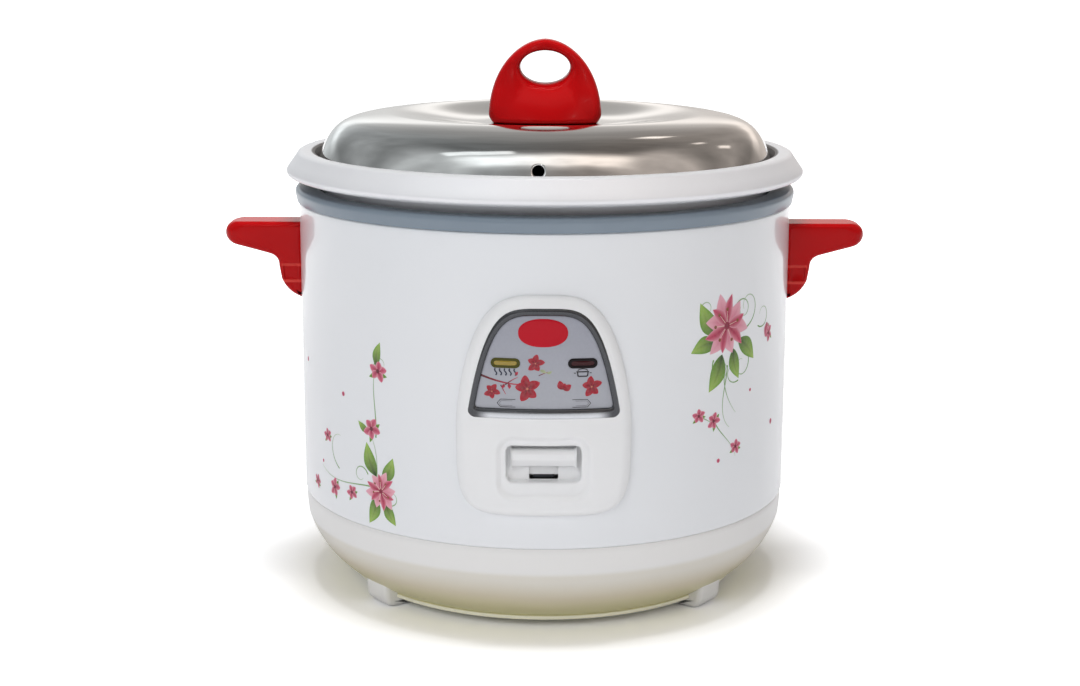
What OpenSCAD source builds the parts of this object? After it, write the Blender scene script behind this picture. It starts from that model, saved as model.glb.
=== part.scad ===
// Drum rice cooker with a lift-out pot, a lift-off lid and a one-lever switch.
// Millimetres. The origin is on the floor under the centre of the body,
// +Z is up and the switch panel faces -Y.

/* [Body] */
// Outer diameter of the painted shell
body_d = 260; // [215:1:320]
// Height of the painted shell
shell_h = 155; // [128:1:200]
// Thickness of the painted steel
shell_t = 0.8; // [0.5:0.1:1.2]
// Width of the air gap between the shell and the liner
air_gap = 8.2; // [7.8:0.1:12]
// Thickness of the liner sheet
liner_t = 0.6; // [0.4:0.1:1]
// Height of the grey top ring
ring_h = 7.3; // [6.5:0.1:12]
// How far the ring's bead stands out from the shell
ring_bead = 2; // [1:0.1:3]

/* [Base] */
// Height of the plastic base above its rim
base_h = 45; // [37:1:60]
// Wall of the plastic base
base_t = 2.5; // [2:0.1:3]
// Height of the upright band at the top of the base
band_h = 13; // [8:0.5:16]
// How far the rim lies inside the shell
rim_in = 26; // [18:0.5:32]
// Height of the feet below the rim
foot_h = 5; // [4:0.5:10]
// Width of a foot
foot_w = 19; // [12:1:26]
// Angle of each foot from the front-to-back line
foot_az = 51; // [40:1:58]
// Thickness of the steel bottom plate
bottom_t = 1; // [0.6:0.1:1.5]

/* [Handles] */
// Reach of a handle beyond the shell
handle_reach = 40.5; // [30:0.5:48]
// Width of a handle along the shell
handle_w = 22; // [16:1:40]
// Drop from the top of the shell to the top of a handle
handle_drop = 13; // [6:0.5:20]
// Thickness of the handle's moulding
handle_t = 3.2; // [2.4:0.1:4]

/* [Pot and lid] */
// Gap between the pot's wall and the liner
pot_gap = 2.4; // [1.5:0.1:5]
// Thickness of the pot
pot_t = 1.5; // [1:0.1:2]
// Height of the pot's flange
flange_h = 13.7; // [11:0.1:20]
// Clearance between the flange and the top ring
flange_gap = 5; // [1:0.1:8]
// Thickness of the lid sheet
lid_t = 0.8; // [0.5:0.1:1.2]
// Rise of the lid's dome
dome_h = 20.2; // [14:0.2:32]
// Diameter of the vent hole in the lid
vent_d = 6; // [3:0.5:8]
// Turn of the vent from the front, to the right
vent_az = -1.5; // [-10:0.5:10]
// Width of the knob
knob_w = 59.4; // [45:0.2:70]
// Height of the knob
knob_h = 41.7; // [34:0.1:55]
// Depth of the knob at its foot
knob_depth = 40; // [30:1:52]

/* [Heater] */
// Diameter of the cast heating plate
plate_d = 176; // [164:1:184]
// Height of the posts that carry the heating plate
post_h = 17.4; // [16:0.1:24]
// Depth of the heating plate from its face to its back
plate_t = 8; // [6:0.5:12]
// Diameter of the tubular element
element_d = 7.2; // [6:0.1:7.6]
// How far the thermostat's cap rises when the pot is lifted
sensor_rise = 3; // [1.5:0.1:3.2]

/* [Switch panel] */
// Half of the panel's width
panel_half = 42.2; // [38:0.1:48]
// Height of the panel
panel_h = 108; // [100:0.5:120]
// Height of the panel's lower edge above the seam
panel_lift = 17.7; // [14:0.1:20]
// Thickness of the panel
panel_t = 4.4; // [3.6:0.1:5.4]
// Half of the bezel's width
bezel_half = 36.4; // [34:0.1:38]
// Width of the bezel's frame
bezel_w = 3.6; // [2.5:0.1:5]
// Height of the bezel's lower bar
bezel_foot = 4.9; // [3:0.1:6]
// Width of the switch button
button_w = 31.4; // [24:0.2:33]
// Height of the switch button
button_h = 8.4; // [7:0.1:9.4]
// Travel of the switch button
button_travel = 5.7; // [4:0.1:6.2]

/* [Inlet] */
// Width of the inlet's flange
inlet_w = 50; // [48:1:54]
// Height of the inlet's flange
inlet_h = 24; // [23:0.5:26]
// Width of the connector opening, to the appliance inlet standard
socket_w = 24; // [23.5:0.1:24.5]
// Height of the connector opening
socket_h = 16.5; // [16:0.1:17]
// Depth of the connector opening
socket_depth = 16; // [15:0.5:18]

/* [Hidden] */
$fn = 64;

// Clearances: a screw in its hole, a part beside another, and a part that rests on another
fit = 0.05;
clear = 0.3;
rest = 0.2;
// Longer than anything in the model
big = 400;

// Levels, from the floor up
rim_z = foot_h;
seam_z = rim_z + base_h;
shell_top = seam_z + shell_h;
ring_top = shell_top + ring_h;
bottom_z = rim_z + bottom_t + rest;
base_floor = bottom_z + base_t;
floor_z = seam_z + 6;
plate_z = floor_z + liner_t + post_h;
plate_top = plate_z + plate_t;
flange_z = ring_top + flange_gap;
pot_top = flange_z + flange_h;
lid_seat = pot_top - 5;
dome_z = lid_seat + 2.8;
lid_top = dome_z + dome_h;
recess_z = lid_top - 2.5;

// Radii, from the outside in
body_r = body_d / 2;
wall_r = body_r - shell_t;
liner_r = wall_r - air_gap;
pot_r = liner_r - liner_t - pot_gap;
rim_r = body_r - rim_in;
bottom_r = rim_r - 14;
opening_r = bottom_r - 10;
flange_r = body_r + 6.4;
mouth_r = pot_r + 2.6;
dome_r = mouth_r - 2.4;
vent_r = dome_r - 1.8;
recess_r = 40;

// Sheet edges and the screws that clamp them: angles are from the front
seam_flange = 3.8;
liner_flange_r = body_r - 2.4;
ring_inner_r = pot_r + 1.8;
ring_screw_r = (wall_r + liner_r) / 2;
base_screw_r = rim_r - 7;
screw_az = [22, 158, 202, 338];
cover_screw_az = [45, 135, 225, 315];
cover_screw_r = opening_r + 5;

// Heating plate with its posts, terminals and screws
plate_r = plate_d / 2;
hole_r = 22;
ridge_h = 6;
post_r = plate_r - 11;
post_az = [90, 210, 330];
element_r = plate_r - 26;
element_z = plate_z - ridge_h + 2.5;
terminal_az = [75, 105];
earth_az = 90;
tag_t = 0.8;

// Lever: the pin, the button's end and the magnet's end
lever_z = floor_z - 12;
peg_r = 1.5;
front_arm = 59.5;
rear_arm = liner_r + 0.5 - front_arm;
pivot_y = -rear_arm;
cheek_in = 7.5;
cheek_t = 1.2;
bracket_at = [-18, 28];
stroke = button_travel * rear_arm / front_arm;

// Thermostat
cap_top = plate_top - clear;
cap_r = 18;
cap_t = 1.2;
stem_r = 10.3;
stem_z = cap_top - 21.7;
housing_z = stem_z + 0.8 + sensor_rise + clear;
ear_r = 25.5;
ferrite_z = cap_top - 5.2;
magnet_t = 5;
magnet_z = ferrite_z - clear - stroke - magnet_t;
collar_r = 5.5;
rod_low = lever_z - 7;

// Microswitch, with its screws and plunger measured from the lever's pin
switch_z = floor_z - 11.8;
switch_x = cheek_in + cheek_t;
switch_w = 6.4;
switch_screws_at = [17.2, 26.8];
plunger_at = 22;
plunger_travel = button_travel / front_arm * plunger_at;
plunger_low = switch_z - plunger_travel - 0.4;
plunger_top = switch_z + 1.6;
blade_x = switch_x + 3.1;
blade_y = pivot_y + 38;
blade_z = [switch_z + 2.7, switch_z + 7.5];
fuse_d = 4.4;

// Switch panel and what it carries: screws are angle and height above the panel's edge.
// A width along the drum, turned into the angle it spans
function drum_angle(width) = width / body_r * 180 / PI;
panel_z = seam_z + panel_lift;
panel_low = 44.3;
panel_screws_at = [for (s = [[30.2, 67.3], [-30.2, 67.3], [27.2, 10.5], [-27.2, 10.5]])
    [drum_angle(s.x), s.y]];
face_r = body_r + clear + panel_t;
bezel_seat = face_r - 1.2;
bezel_low = panel_z + 48.8;
bezel_high = panel_z + 102.5;
lens_z = panel_z + 75.9;
lens_az = drum_angle(18.4);
lens_w = 13.2;
lens_h = 4.3;
lamp_r = wall_r - 4.6;
lamp_half = 6;
holder_r = wall_r - 1.9;

// Button: the pocket's back wall runs between the button and the plate that holds it
link_t = 1.2;
plate_y = -liner_r - 2 - link_t;
back_t = 1.3;
pocket_wall = 1.2;
pocket_y = plate_y - back_t - clear - pocket_wall;
button_z = panel_z + 28.9;
button_low = button_z - button_h / 2;
pocket_low = button_low - button_travel - 1.2;
pocket_high = button_z + button_h / 2 + 2;
pocket_half = button_w / 2 + 2.3;
neck_half = 5.6;
neck_h = 4;

// Inlet
inlet_z = seam_z - 18;
inlet_y = body_r + 3;
inlet_in = inlet_y - 43;
inlet_flange_t = 2.6;
pin_at = [[-7, -2], [7, -2], [0, 2]];
inlet_screw_x = 20;
pin_end = inlet_y - socket_depth - 12;

// Handles: screws are angle and height from the handle's top
handle_top = shell_top - handle_drop;
handle_screws_at = [[0, -8], [0, -30]];

// Wires: the element's terminal on the right, and the routes under the liner
wire_d = 2.4;
terminal = element_r * [cos(terminal_az.x), sin(terminal_az.x)];

// A path moved sideways by t, with mitred corners, and a sheet that follows a path
function reverse(p) = [for (i = [len(p) - 1:-1:0]) p[i]];
function side(a, b) = let (d = b - a) [-d.y, d.x] / norm(d);
function beside(p, t) = [for (i = [0:len(p) - 1])
    let (last = len(p) - 1,
        a = side(p[max(i - 1, 0)], p[max(i, 1)]),
        b = side(p[min(i, last - 1)], p[min(i + 1, last)]))
    p[i] + t * (a + b) / (1 + a * b)];
function sheet(p, t) = concat(p, reverse(beside(p, t)));
function arc(c, r, a, b, n) = [for (i = [0:n]) c + r * [cos(a + (b - a) * i / n), sin(a + (b - a) * i / n)]];
// Direction of a vector
function unit(v) = v / norm(v);
// Part of v that lies across t, at length 1
function across(v, t) = unit(v - (v * t) * t);
// Route with each corner drawn in by up to r
function rounded(p, r) =
    [for (i = [0:len(p) - 1]) each i == 0 || i == len(p) - 1 ? [p[i]]
        : let (a = p[i - 1] - p[i], b = p[i + 1] - p[i], c = min(r, norm(a) / 2.2, norm(b) / 2.2))
        [for (t = [0:1/3:1]) p[i] + c * ((1 - t) * (1 - t) * unit(a) + t * t * unit(b))]];
// Arc from a to b that swells by s to the left of the line between them, or to the right if s < 0
function bow(a, b, s, n) =
    let (c = norm(b - a) / 2, r = (c * c + s * s) / (2 * abs(s)),
        m = (a + b) / 2 - sign(s) * side(a, b) * (r - abs(s)),
        start = atan2(a.y - m.y, a.x - m.x))
    arc(m, r, start, start - sign(s) * 2 * asin(c / r), n);
function mirrored(p) = concat(p, [for (q = reverse(p)) if (abs(q.x) > 0.001) [-q.x, q.y]]);

module spin(p) { rotate_extrude() polygon(p); }
// A flat outline in X and Z, pushed from y = -depth back to y = 0
module upright(depth) { rotate([90, 0, 0]) linear_extrude(depth) children(); }
// Places children on a ray from the body's axis: local +X points outwards
module ray(az, z) { rotate([0, 0, az]) translate([0, 0, z]) children(); }
module tube(r_out, r_in, h) {
    difference() {
        cylinder(r = r_out, h = h);
        translate([0, 0, -1]) cylinder(r = r_in, h = h + 2);
    }
}
// Pan-head screw with its tip up and the seat of its head at z = 0
module screw(d, length, head_d, head_h) {
    difference() {
        union() {
            translate([0, 0, -head_h]) cylinder(d = d, h = length + head_h);
            translate([0, 0, -head_h]) cylinder(d = head_d, h = head_h);
        }
        for (a = [0, 90])
            rotate([0, 0, a])
                translate([-head_d * 0.3, -d * 0.12, -head_h - 1])
                    cube([head_d * 0.6, d * 0.24, 1 + head_h * 0.6]);
    }
}
// The same screw on a ray, with its tip outwards
module ray_screw(az, z, r, d, length, head_d, head_h) {
    ray(az, z) translate([r, 0, 0]) rotate([0, 90, 0]) screw(d, length, head_d, head_h);
}
module ray_hole(az, z, r, d, length) {
    ray(az, z) translate([r, 0, 0]) rotate([0, 90, 0]) cylinder(d = d, h = length);
}
// Round bar swept along a list of points, with u a first direction across it
module sweep(p, d, sides, u) {
    last = len(p) - 1;
    t = [for (i = [0:last]) unit(p[min(i + 1, last)] - p[max(i - 1, 0)])];
    rings = [for (i = 0, v = across(u, t[0]); i <= last; i = i + 1, v = i > last ? v : across(v, t[i]))
        for (k = [0:sides - 1]) let (b = k * 360 / sides)
            p[i] + d / 2 * (cos(b) * v + sin(b) * cross(t[i], v))];
    walls = [for (i = [0:last - 1]) for (k = [0:sides - 1])
        let (a = i * sides + k, b = i * sides + (k + 1) % sides)
        [a, a + sides, b + sides, b]];
    ends = [[for (k = [0:sides - 1]) k], [for (k = [sides - 1:-1:0]) last * sides + k]];
    polyhedron(rings, concat(walls, ends), convexity = 10);
}
// Coil spring standing on z = 0
module spring(mean_r, wire_d, height, turns) {
    steps = 14;
    pitch = (height - wire_d) / turns;
    sweep([for (i = [0:turns * steps])
        let (a = i * 360 / steps) [mean_r * cos(a), mean_r * sin(a), wire_d / 2 + pitch * i / steps]],
        wire_d, 6, [1, 0, 0]);
}
// Insulated wire through a list of points, with its corners rounded
module wire(p, d) {
    sweep(rounded(p, 2 * d), d, 8, [0.3, 0.5, 0.8]);
}

// ---- Body ----

module outer_shell() {
    wall = concat([[liner_r + 1, shell_top]],
        arc([body_r - 1.5, shell_top - 1.5], 1.5, 90, 0, 4),
        arc([body_r - 1.5, seam_z + 1.5], 1.5, 0, -90, 4),
        [[body_r - seam_flange, seam_z]]);
    color("whitesmoke") difference() {
        spin(sheet(wall, -shell_t));
        // Windows behind the panel, for the switch pocket and the lamps
        translate([-pocket_half - 2.5, -body_r - 5, pocket_low - 3])
            cube([2 * pocket_half + 5, 30, pocket_high - pocket_low + 6]);
        translate([-28, -body_r - 5, lens_z - 6]) cube([56, 30, 12]);
        for (s = panel_screws_at) ray_hole(s.x - 90, panel_z + s.y, wall_r - 5, 3 + 2 * fit, 10);
        for (turn = [0, 180], s = handle_screws_at)
            ray_hole(turn + s.x, handle_top + s.y, wall_r - 5, 4 + 2 * fit, 10);
        for (a = screw_az)
            rotate([0, 0, a]) translate([0, -ring_screw_r, shell_top - 5]) cylinder(d = 3 + 2 * fit, h = 10);
    }
}

module top_ring() {
    bead_r = body_r + ring_bead;
    color("lightslategray") difference() {
        spin(concat([[ring_inner_r, shell_top + liner_t], [ring_inner_r, ring_top - 2]],
            arc([ring_inner_r + 2, ring_top - 2], 2, 180, 90, 4),
            arc([bead_r - 2.4, ring_top - 2.4], 2.4, 90, 20, 4),
            [[bead_r, shell_top + 4.2], [bead_r - 0.8, shell_top],
             [liner_flange_r + clear, shell_top], [liner_flange_r + clear, shell_top + liner_t]]));
        for (a = screw_az)
            rotate([0, 0, a]) translate([0, -ring_screw_r, shell_top - 1])
                cylinder(d = 3 + 2 * fit, h = ring_h - 0.5);
    }
}
module ring_screws() {
    color("silver") for (a = screw_az)
        rotate([0, 0, a]) translate([0, -ring_screw_r, shell_top - shell_t])
            screw(3, shell_t + ring_h - 1.7, 5.4, 2);
}

// Sloping wall of the base, from its upright band down to its rim
base_side = concat([[body_r - 0.5, seam_z]],
    bow([body_r - 1.3, seam_z - band_h], [rim_r + 0.8, rim_z + 2.4], 4.1, 10));
lip = [[rim_r + 1.5, rim_z + 2], [rim_r + 1.5, rim_z + 0.6], [rim_r + 0.9, rim_z]];
base_inside = concat(
    [for (q = reverse(beside(base_side, -base_t))) if (q.y > base_floor && q.y < seam_z - 1) q],
    [[body_r - 0.5 - base_t, seam_z]]);
module base_hollow() { spin(concat([[0, base_floor]], base_inside, [[0, seam_z]])); }
module base() {
    color("ivory") difference() {
        union() {
            spin(concat(base_side, lip, [[bottom_r + clear, rim_z], [bottom_r + clear, bottom_z],
                [opening_r, bottom_z], [opening_r, base_floor]], base_inside));
            difference() {
                union() {
                    for (a = [foot_az, -foot_az, 180 + foot_az, 180 - foot_az]) rotate([0, 0, a]) foot();
                    inlet_boss();
                }
                base_hollow();
            }
            for (a = screw_az)
                rotate([0, 0, a]) translate([0, -base_screw_r, bottom_z + 1]) {
                    cylinder(d = 9, h = floor_z - bottom_z - 1);
                    cylinder(d = 12.4, h = 6);
                }
            for (a = cover_screw_az)
                rotate([0, 0, a]) translate([0, -cover_screw_r, bottom_z]) cylinder(d = 8, h = 9);
            for (x = [-inlet_screw_x, inlet_screw_x])
                translate([x, inlet_y - 9, inlet_z]) rotate([-90, 0, 0]) cylinder(d = 7, h = 8);
        }
        for (a = screw_az)
            rotate([0, 0, a]) translate([0, -base_screw_r, -1]) {
                cylinder(d = 4 + 2 * fit, h = big);
                cylinder(d = 9, h = bottom_z + 5);
            }
        for (a = cover_screw_az)
            rotate([0, 0, a]) translate([0, -cover_screw_r, 0]) cylinder(d = 3 + 2 * fit, h = bottom_z + 7.5);
        inlet_cuts();
    }
}
module foot() {
    outline = concat([[rim_r - 8, 0.6], [rim_r - 7.4, 0]], arc([rim_r + 1, 7], 7, -90, -8, 6),
        [[rim_r + 8.4, rim_z + 8], [rim_r + 9, rim_z + 12], [rim_r - 8, rim_z + 12]]);
    rotate([0, 0, -90]) translate([0, foot_w / 2, 0]) upright(foot_w) polygon(outline);
}

module bottom_plate() {
    color("lightgray") difference() {
        translate([0, 0, bottom_z - bottom_t]) cylinder(r = bottom_r, h = bottom_t);
        for (a = cover_screw_az)
            rotate([0, 0, a]) translate([0, -cover_screw_r, 0]) cylinder(d = 3 + 2 * fit, h = 20);
        // Two rings of cooling slots
        for (ring = [[opening_r - 16, 24], [opening_r - 38, 12]], i = [0:ring.y - 1])
            rotate([0, 0, (i + 0.5) * 360 / ring.y]) translate([0, -ring.x, 0]) {
                translate([-2, -6, 0]) cube([4, 12, 20]);
                for (y = [-6, 6]) translate([0, y, 0]) cylinder(d = 4, h = 20);
            }
    }
}
module bottom_plate_screws() {
    color("silver") for (a = cover_screw_az)
        rotate([0, 0, a]) translate([0, -cover_screw_r, bottom_z - bottom_t]) screw(3, 8, 6, 1.8);
}

module inner_liner() {
    wall = [[liner_flange_r, shell_top], [liner_r, shell_top], [liner_r, floor_z], [30, floor_z]];
    color("silver") difference() {
        spin(sheet(wall, -liner_t));
        for (a = screw_az) rotate([0, 0, a]) {
            translate([0, -ring_screw_r, shell_top - 1]) cylinder(d = 3 + 2 * fit, h = 5);
            translate([0, -base_screw_r, floor_z - 1]) cylinder(d = 4 + 2 * fit, h = 5);
        }
        for (a = post_az)
            rotate([0, 0, a]) translate([post_r, 0, floor_z - 1]) cylinder(d = 4 + 2 * fit, h = 5);
        for (a = terminal_az)
            rotate([0, 0, a]) translate([element_r, 0, floor_z - 1]) cylinder(d = 9.2 + 2 * clear, h = 5);
        for (y = bracket_at) translate([0, pivot_y + y, floor_z - 1]) cylinder(d = 3 + 2 * fit, h = 5);
    }
}
module liner_nuts() {
    color("silver") for (a = screw_az)
        rotate([0, 0, a]) translate([0, -base_screw_r, floor_z + liner_t]) difference() {
            cylinder(d = 8, h = 3.2, $fn = 6);
            translate([0, 0, -1]) cylinder(d = 4 + 2 * fit, h = 6);
        }
}
module base_screws() {
    seat = bottom_z + 4;
    color("silver") for (a = screw_az)
        rotate([0, 0, a]) translate([0, -base_screw_r, seat]) screw(4, floor_z + 5 - seat, 7.6, 2.6);
}

// ---- Heater and thermostat ----

module heating_plate() {
    half = element_d / 2 + fit;
    color("gainsboro") difference() {
        spin([[hole_r, plate_z], [element_r - 8, plate_z], [element_r - 7, plate_z - ridge_h],
            [element_r + 7, plate_z - ridge_h], [element_r + 8, plate_z], [plate_r - 4, plate_z],
            [plate_r, plate_z + 3], [plate_r, plate_top - 2], [plate_r - 5, plate_top],
            [hole_r + 1, plate_top], [hole_r, plate_top - 1]]);
        // Groove that the element is cast into, open underneath
        rotate_extrude() translate([element_r, element_z]) {
            circle(r = half);
            translate([-half, -10]) square([2 * half, 10]);
        }
        for (a = post_az)
            rotate([0, 0, a]) translate([post_r, 0, plate_z - 1]) cylinder(d = 4 + 2 * fit, h = plate_t - 1);
        for (a = [0, 120, 240])
            rotate([0, 0, a]) translate([ear_r, 0, plate_z - 1]) cylinder(d = 3 + 2 * fit, h = plate_t - 1);
    }
}
module heating_element() {
    start = terminal_az.y;
    color("dimgray") {
        rotate([0, 0, start]) rotate_extrude(angle = 360 - terminal_az.y + terminal_az.x)
            translate([element_r, element_z]) circle(d = element_d);
        for (a = terminal_az) rotate([0, 0, a]) translate([element_r, 0, 0]) {
            translate([0, 0, element_z]) sphere(d = element_d);
            translate([0, 0, floor_z - 8]) cylinder(d = 4, h = element_z - floor_z + 8);
        }
    }
}
module element_bushes() {
    color("white") for (a = terminal_az)
        rotate([0, 0, a]) translate([element_r, 0, floor_z - 3]) difference() {
            union() {
                cylinder(d = 9.2, h = element_z - element_d / 2 - floor_z + 2.4);
                cylinder(d = 11.5, h = 2.7);
            }
            translate([0, 0, -1]) cylinder(d = 4 + 2 * fit, h = 30);
        }
}
module plate_posts() {
    color("silver") for (a = post_az)
        rotate([0, 0, a]) translate([post_r, 0, floor_z + liner_t]) tube(5, 2 + fit, post_h);
}
module plate_screws() {
    // One of the three also clamps the earth tag
    color("silver") for (a = post_az) {
        seat = floor_z - (a == earth_az ? tag_t : 0);
        rotate([0, 0, a]) translate([post_r, 0, seat]) screw(4, plate_z + plate_t - 3 - seat, 7.6, 2.6);
    }
}

// Spring-loaded thermostat: a cap that the pot presses down, a ferrite disc under it,
// and a magnet that the lever lifts to the disc
module thermostat_housing() {
    color("silver") difference() {
        union() {
            translate([0, 0, plate_z - 1.2]) cylinder(r = 30, h = 1.2);
            translate([0, 0, housing_z]) cylinder(r = 20, h = plate_z - housing_z);
        }
        translate([0, 0, housing_z + 1.2]) cylinder(r = 19.2, h = 40);
        translate([0, 0, housing_z - 1]) cylinder(r = stem_r + clear, h = 10);
        for (a = [0, 120, 240])
            rotate([0, 0, a]) translate([ear_r, 0, plate_z - 5]) cylinder(d = 3 + 2 * fit, h = 10);
    }
}
module thermostat_screws() {
    color("silver") for (a = [0, 120, 240])
        rotate([0, 0, a]) translate([ear_r, 0, plate_z - 1.2]) screw(3, 1.2 + plate_t - 3, 5.4, 2);
}
module sensor_cap() {
    color("gainsboro") spin([[0, cap_top], [cap_r - 1, cap_top], [cap_r, cap_top - 1], [cap_r, cap_top - 11],
        [cap_r - 0.9, cap_top - 11], [cap_r - 0.9, cap_top - cap_t], [stem_r, cap_top - cap_t],
        [stem_r, stem_z + 0.8], [stem_r + 1.6, stem_z + 0.8], [stem_r + 1.6, stem_z],
        [2 + 0.4, stem_z], [2 + 0.4, stem_z + 0.8], [stem_r - 0.9, stem_z + 0.8],
        [stem_r - 0.9, cap_top - cap_t], [0, cap_top - cap_t]]);
}
module sensor_spring() {
    low = housing_z + 1.2 + fit;
    color("silver") translate([0, 0, low]) spring(13.6, 1.2, cap_top - cap_t - fit - low, 4);
}
module ferrite_disc() {
    color("dimgray") translate([0, 0, ferrite_z]) cylinder(r = stem_r - 1.4, h = cap_top - cap_t - ferrite_z);
}
module magnet() {
    color("darkgray") translate([0, 0, magnet_z]) cylinder(r = stem_r - 1.7, h = magnet_t);
}
module magnet_rod() {
    color("silver") {
        translate([0, 0, rod_low]) cylinder(d = 4, h = magnet_z - rod_low);
        translate([0, 0, lever_z - peg_r - clear - 2.5]) cylinder(r = collar_r, h = 2.5);
        translate([0, 0, lever_z + peg_r + clear]) cylinder(r = collar_r, h = 2);
    }
}
module magnet_spring() {
    low = lever_z + peg_r + clear + 2 + fit;
    color("silver") translate([0, 0, low]) spring(4.2, 0.8, stem_z - fit - low, 4);
}

// ---- Switch ----

module lever_bracket() {
    wing = [pivot_y + 8, pivot_y + 34];
    color("silver") difference() {
        union() {
            translate([-cheek_in - cheek_t, pivot_y - 23, floor_z - 1.2])
                cube([2 * (cheek_in + cheek_t), 57, 1.2]);
            for (x = [-cheek_in - cheek_t, cheek_in]) translate([x, 0, 0]) {
                translate([0, pivot_y - 8, lever_z]) cube([cheek_t, 16, floor_z - lever_z - 0.6]);
                translate([0, pivot_y, lever_z]) rotate([0, 90, 0]) cylinder(r = 8, h = cheek_t);
            }
            translate([cheek_in, wing.x - 1, floor_z - 11]) cube([cheek_t, wing.y - wing.x + 1, 10.4]);
        }
        translate([-20, pivot_y, lever_z]) rotate([0, 90, 0]) cylinder(r = 2 + fit, h = 40);
        for (y = bracket_at) translate([0, pivot_y + y, floor_z - 5]) cylinder(d = 3 + 2 * fit, h = 10);
        for (y = switch_screws_at)
            translate([0, pivot_y + y, switch_z + 3]) rotate([0, 90, 0]) cylinder(d = 2 + 2 * fit, h = 20);
    }
}
module bracket_screws() {
    color("silver") for (y = bracket_at) translate([0, pivot_y + y, floor_z - 1.2]) screw(3, 6, 5.4, 2);
}
module lever_pin() {
    color("silver") translate([-cheek_in - cheek_t, pivot_y, lever_z]) rotate([0, 90, 0]) difference() {
        union() {
            cylinder(r = 2, h = 2 * (cheek_in + cheek_t) + 2.4);
            translate([0, 0, -1.4]) cylinder(r = 3.4, h = 1.4);
        }
        translate([0, 0, 2 * (cheek_in + cheek_t) + 0.2]) tube(3, 1.5, 0.8);
    }
}
module pin_clip() {
    color("silver") translate([cheek_in + cheek_t + 0.25, pivot_y, lever_z]) rotate([0, 90, 0]) difference() {
        cylinder(r = 3.6, h = 0.7);
        translate([0, 0, -1]) cylinder(r = 1.5 + fit, h = 3);
        translate([-1.3, -5, -1]) cube([2.6, 5, 3]);
    }
}
module switch_lever() {
    neck = 1.6;
    front = pivot_y - front_arm;
    tab_z = plunger_low - clear;
    color("lightgray") difference() {
        union() {
            translate([-6, front + 6.5, lever_z - peg_r]) cube([12, front_arm + rear_arm - 14.5, 2 * peg_r]);
            translate([-6, pivot_y, lever_z]) rotate([0, 90, 0]) cylinder(r = 5, h = 12);
            // Tongue that enters the button's foot, and the fork round the magnet's rod
            translate([-4.5, front, lever_z - neck / 2]) cube([9, 7, neck]);
            translate([-4.5, front, lever_z]) rotate([0, 90, 0]) cylinder(r = peg_r, h = 9);
            translate([-6, -9, lever_z - neck / 2]) cube([12, 9, neck]);
            translate([-6, 0, lever_z]) rotate([0, 90, 0]) cylinder(r = peg_r, h = 12);
            // Side tab that works the microswitch
            translate([3, pivot_y + plunger_at - 3, tab_z - 2]) cube([11.5, 6, 2]);
            translate([3, pivot_y + plunger_at - 3, tab_z - 1]) cube([3, 6, lever_z - tab_z + 1]);
        }
        translate([-10, pivot_y, lever_z]) rotate([0, 90, 0]) cylinder(r = 2 + fit, h = 20);
        translate([-2 - 2 * clear, -8, lever_z - 5]) cube([4 + 4 * clear, 20, 10]);
    }
}

module switch_button() {
    front = -body_r - 3.6;
    back = pocket_y - clear;
    color("white") {
        // Finger bar with a rounded top edge and a sloping lower half
        translate([-button_w / 2, 0, 0]) rotate([90, 0, 90]) linear_extrude(button_w)
            polygon(concat([[back, button_low], [front + 3.4, button_low]],
                [[front + 0.2, button_low + button_h * 0.45]],
                arc([front + 2, button_low + button_h - 2], 2, 180, 90, 5), [[back, button_low + button_h]]));
        translate([-neck_half, back - 0.5, button_low + 1])
            cube([2 * neck_half, plate_y - back + 0.2, neck_h]);
        translate([-9, plate_y - back_t, button_low - 4.6]) cube([18, back_t, button_h + 3.6]);
    }
}
// Steel strip from the button down to the lever, with a slotted foot
module button_link() {
    color("dimgray") difference() {
        union() {
            translate([-5, plate_y, lever_z + 3.5]) cube([10, link_t, button_low + 3.5 - lever_z]);
            translate([-5, plate_y - 0.4, lever_z - 4.5]) cube([10, 6.6, 9]);
        }
        translate([-6, pivot_y - front_arm - peg_r - clear, lever_z - peg_r - clear])
            cube([12, 20, 2 * (peg_r + clear)]);
    }
}

// Microswitch on the wing of the bracket
module microswitch() {
    color("black") difference() {
        translate([switch_x, pivot_y + 12, switch_z]) cube([switch_w, 20, 10]);
        for (y = switch_screws_at)
            translate([0, pivot_y + y, switch_z + 3]) rotate([0, 90, 0]) cylinder(d = 2 + 2 * fit, h = 30);
        translate([switch_x + switch_w / 2, pivot_y + plunger_at, switch_z - 1])
            cylinder(r = 1.2 + clear, h = plunger_top + plunger_travel + clear - switch_z + 1);
    }
    // Blade terminals
    color("goldenrod") for (z = blade_z)
        translate([blade_x - 0.5, blade_y - 6, z - 1.5]) cube([1, 6, 3]);
}
module microswitch_plunger() {
    color("red") translate([switch_x + switch_w / 2, pivot_y + plunger_at, plunger_low])
        cylinder(r = 1.2, h = plunger_top - plunger_low);
}
module microswitch_screws() {
    color("silver") for (y = switch_screws_at)
        translate([switch_x + switch_w, pivot_y + y, switch_z + 3]) rotate([0, -90, 0])
            screw(2, 8.2, 3.8, 1.4);
}

// ---- Keep-warm thermostat and thermal fuse under the heating plate ----

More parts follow.
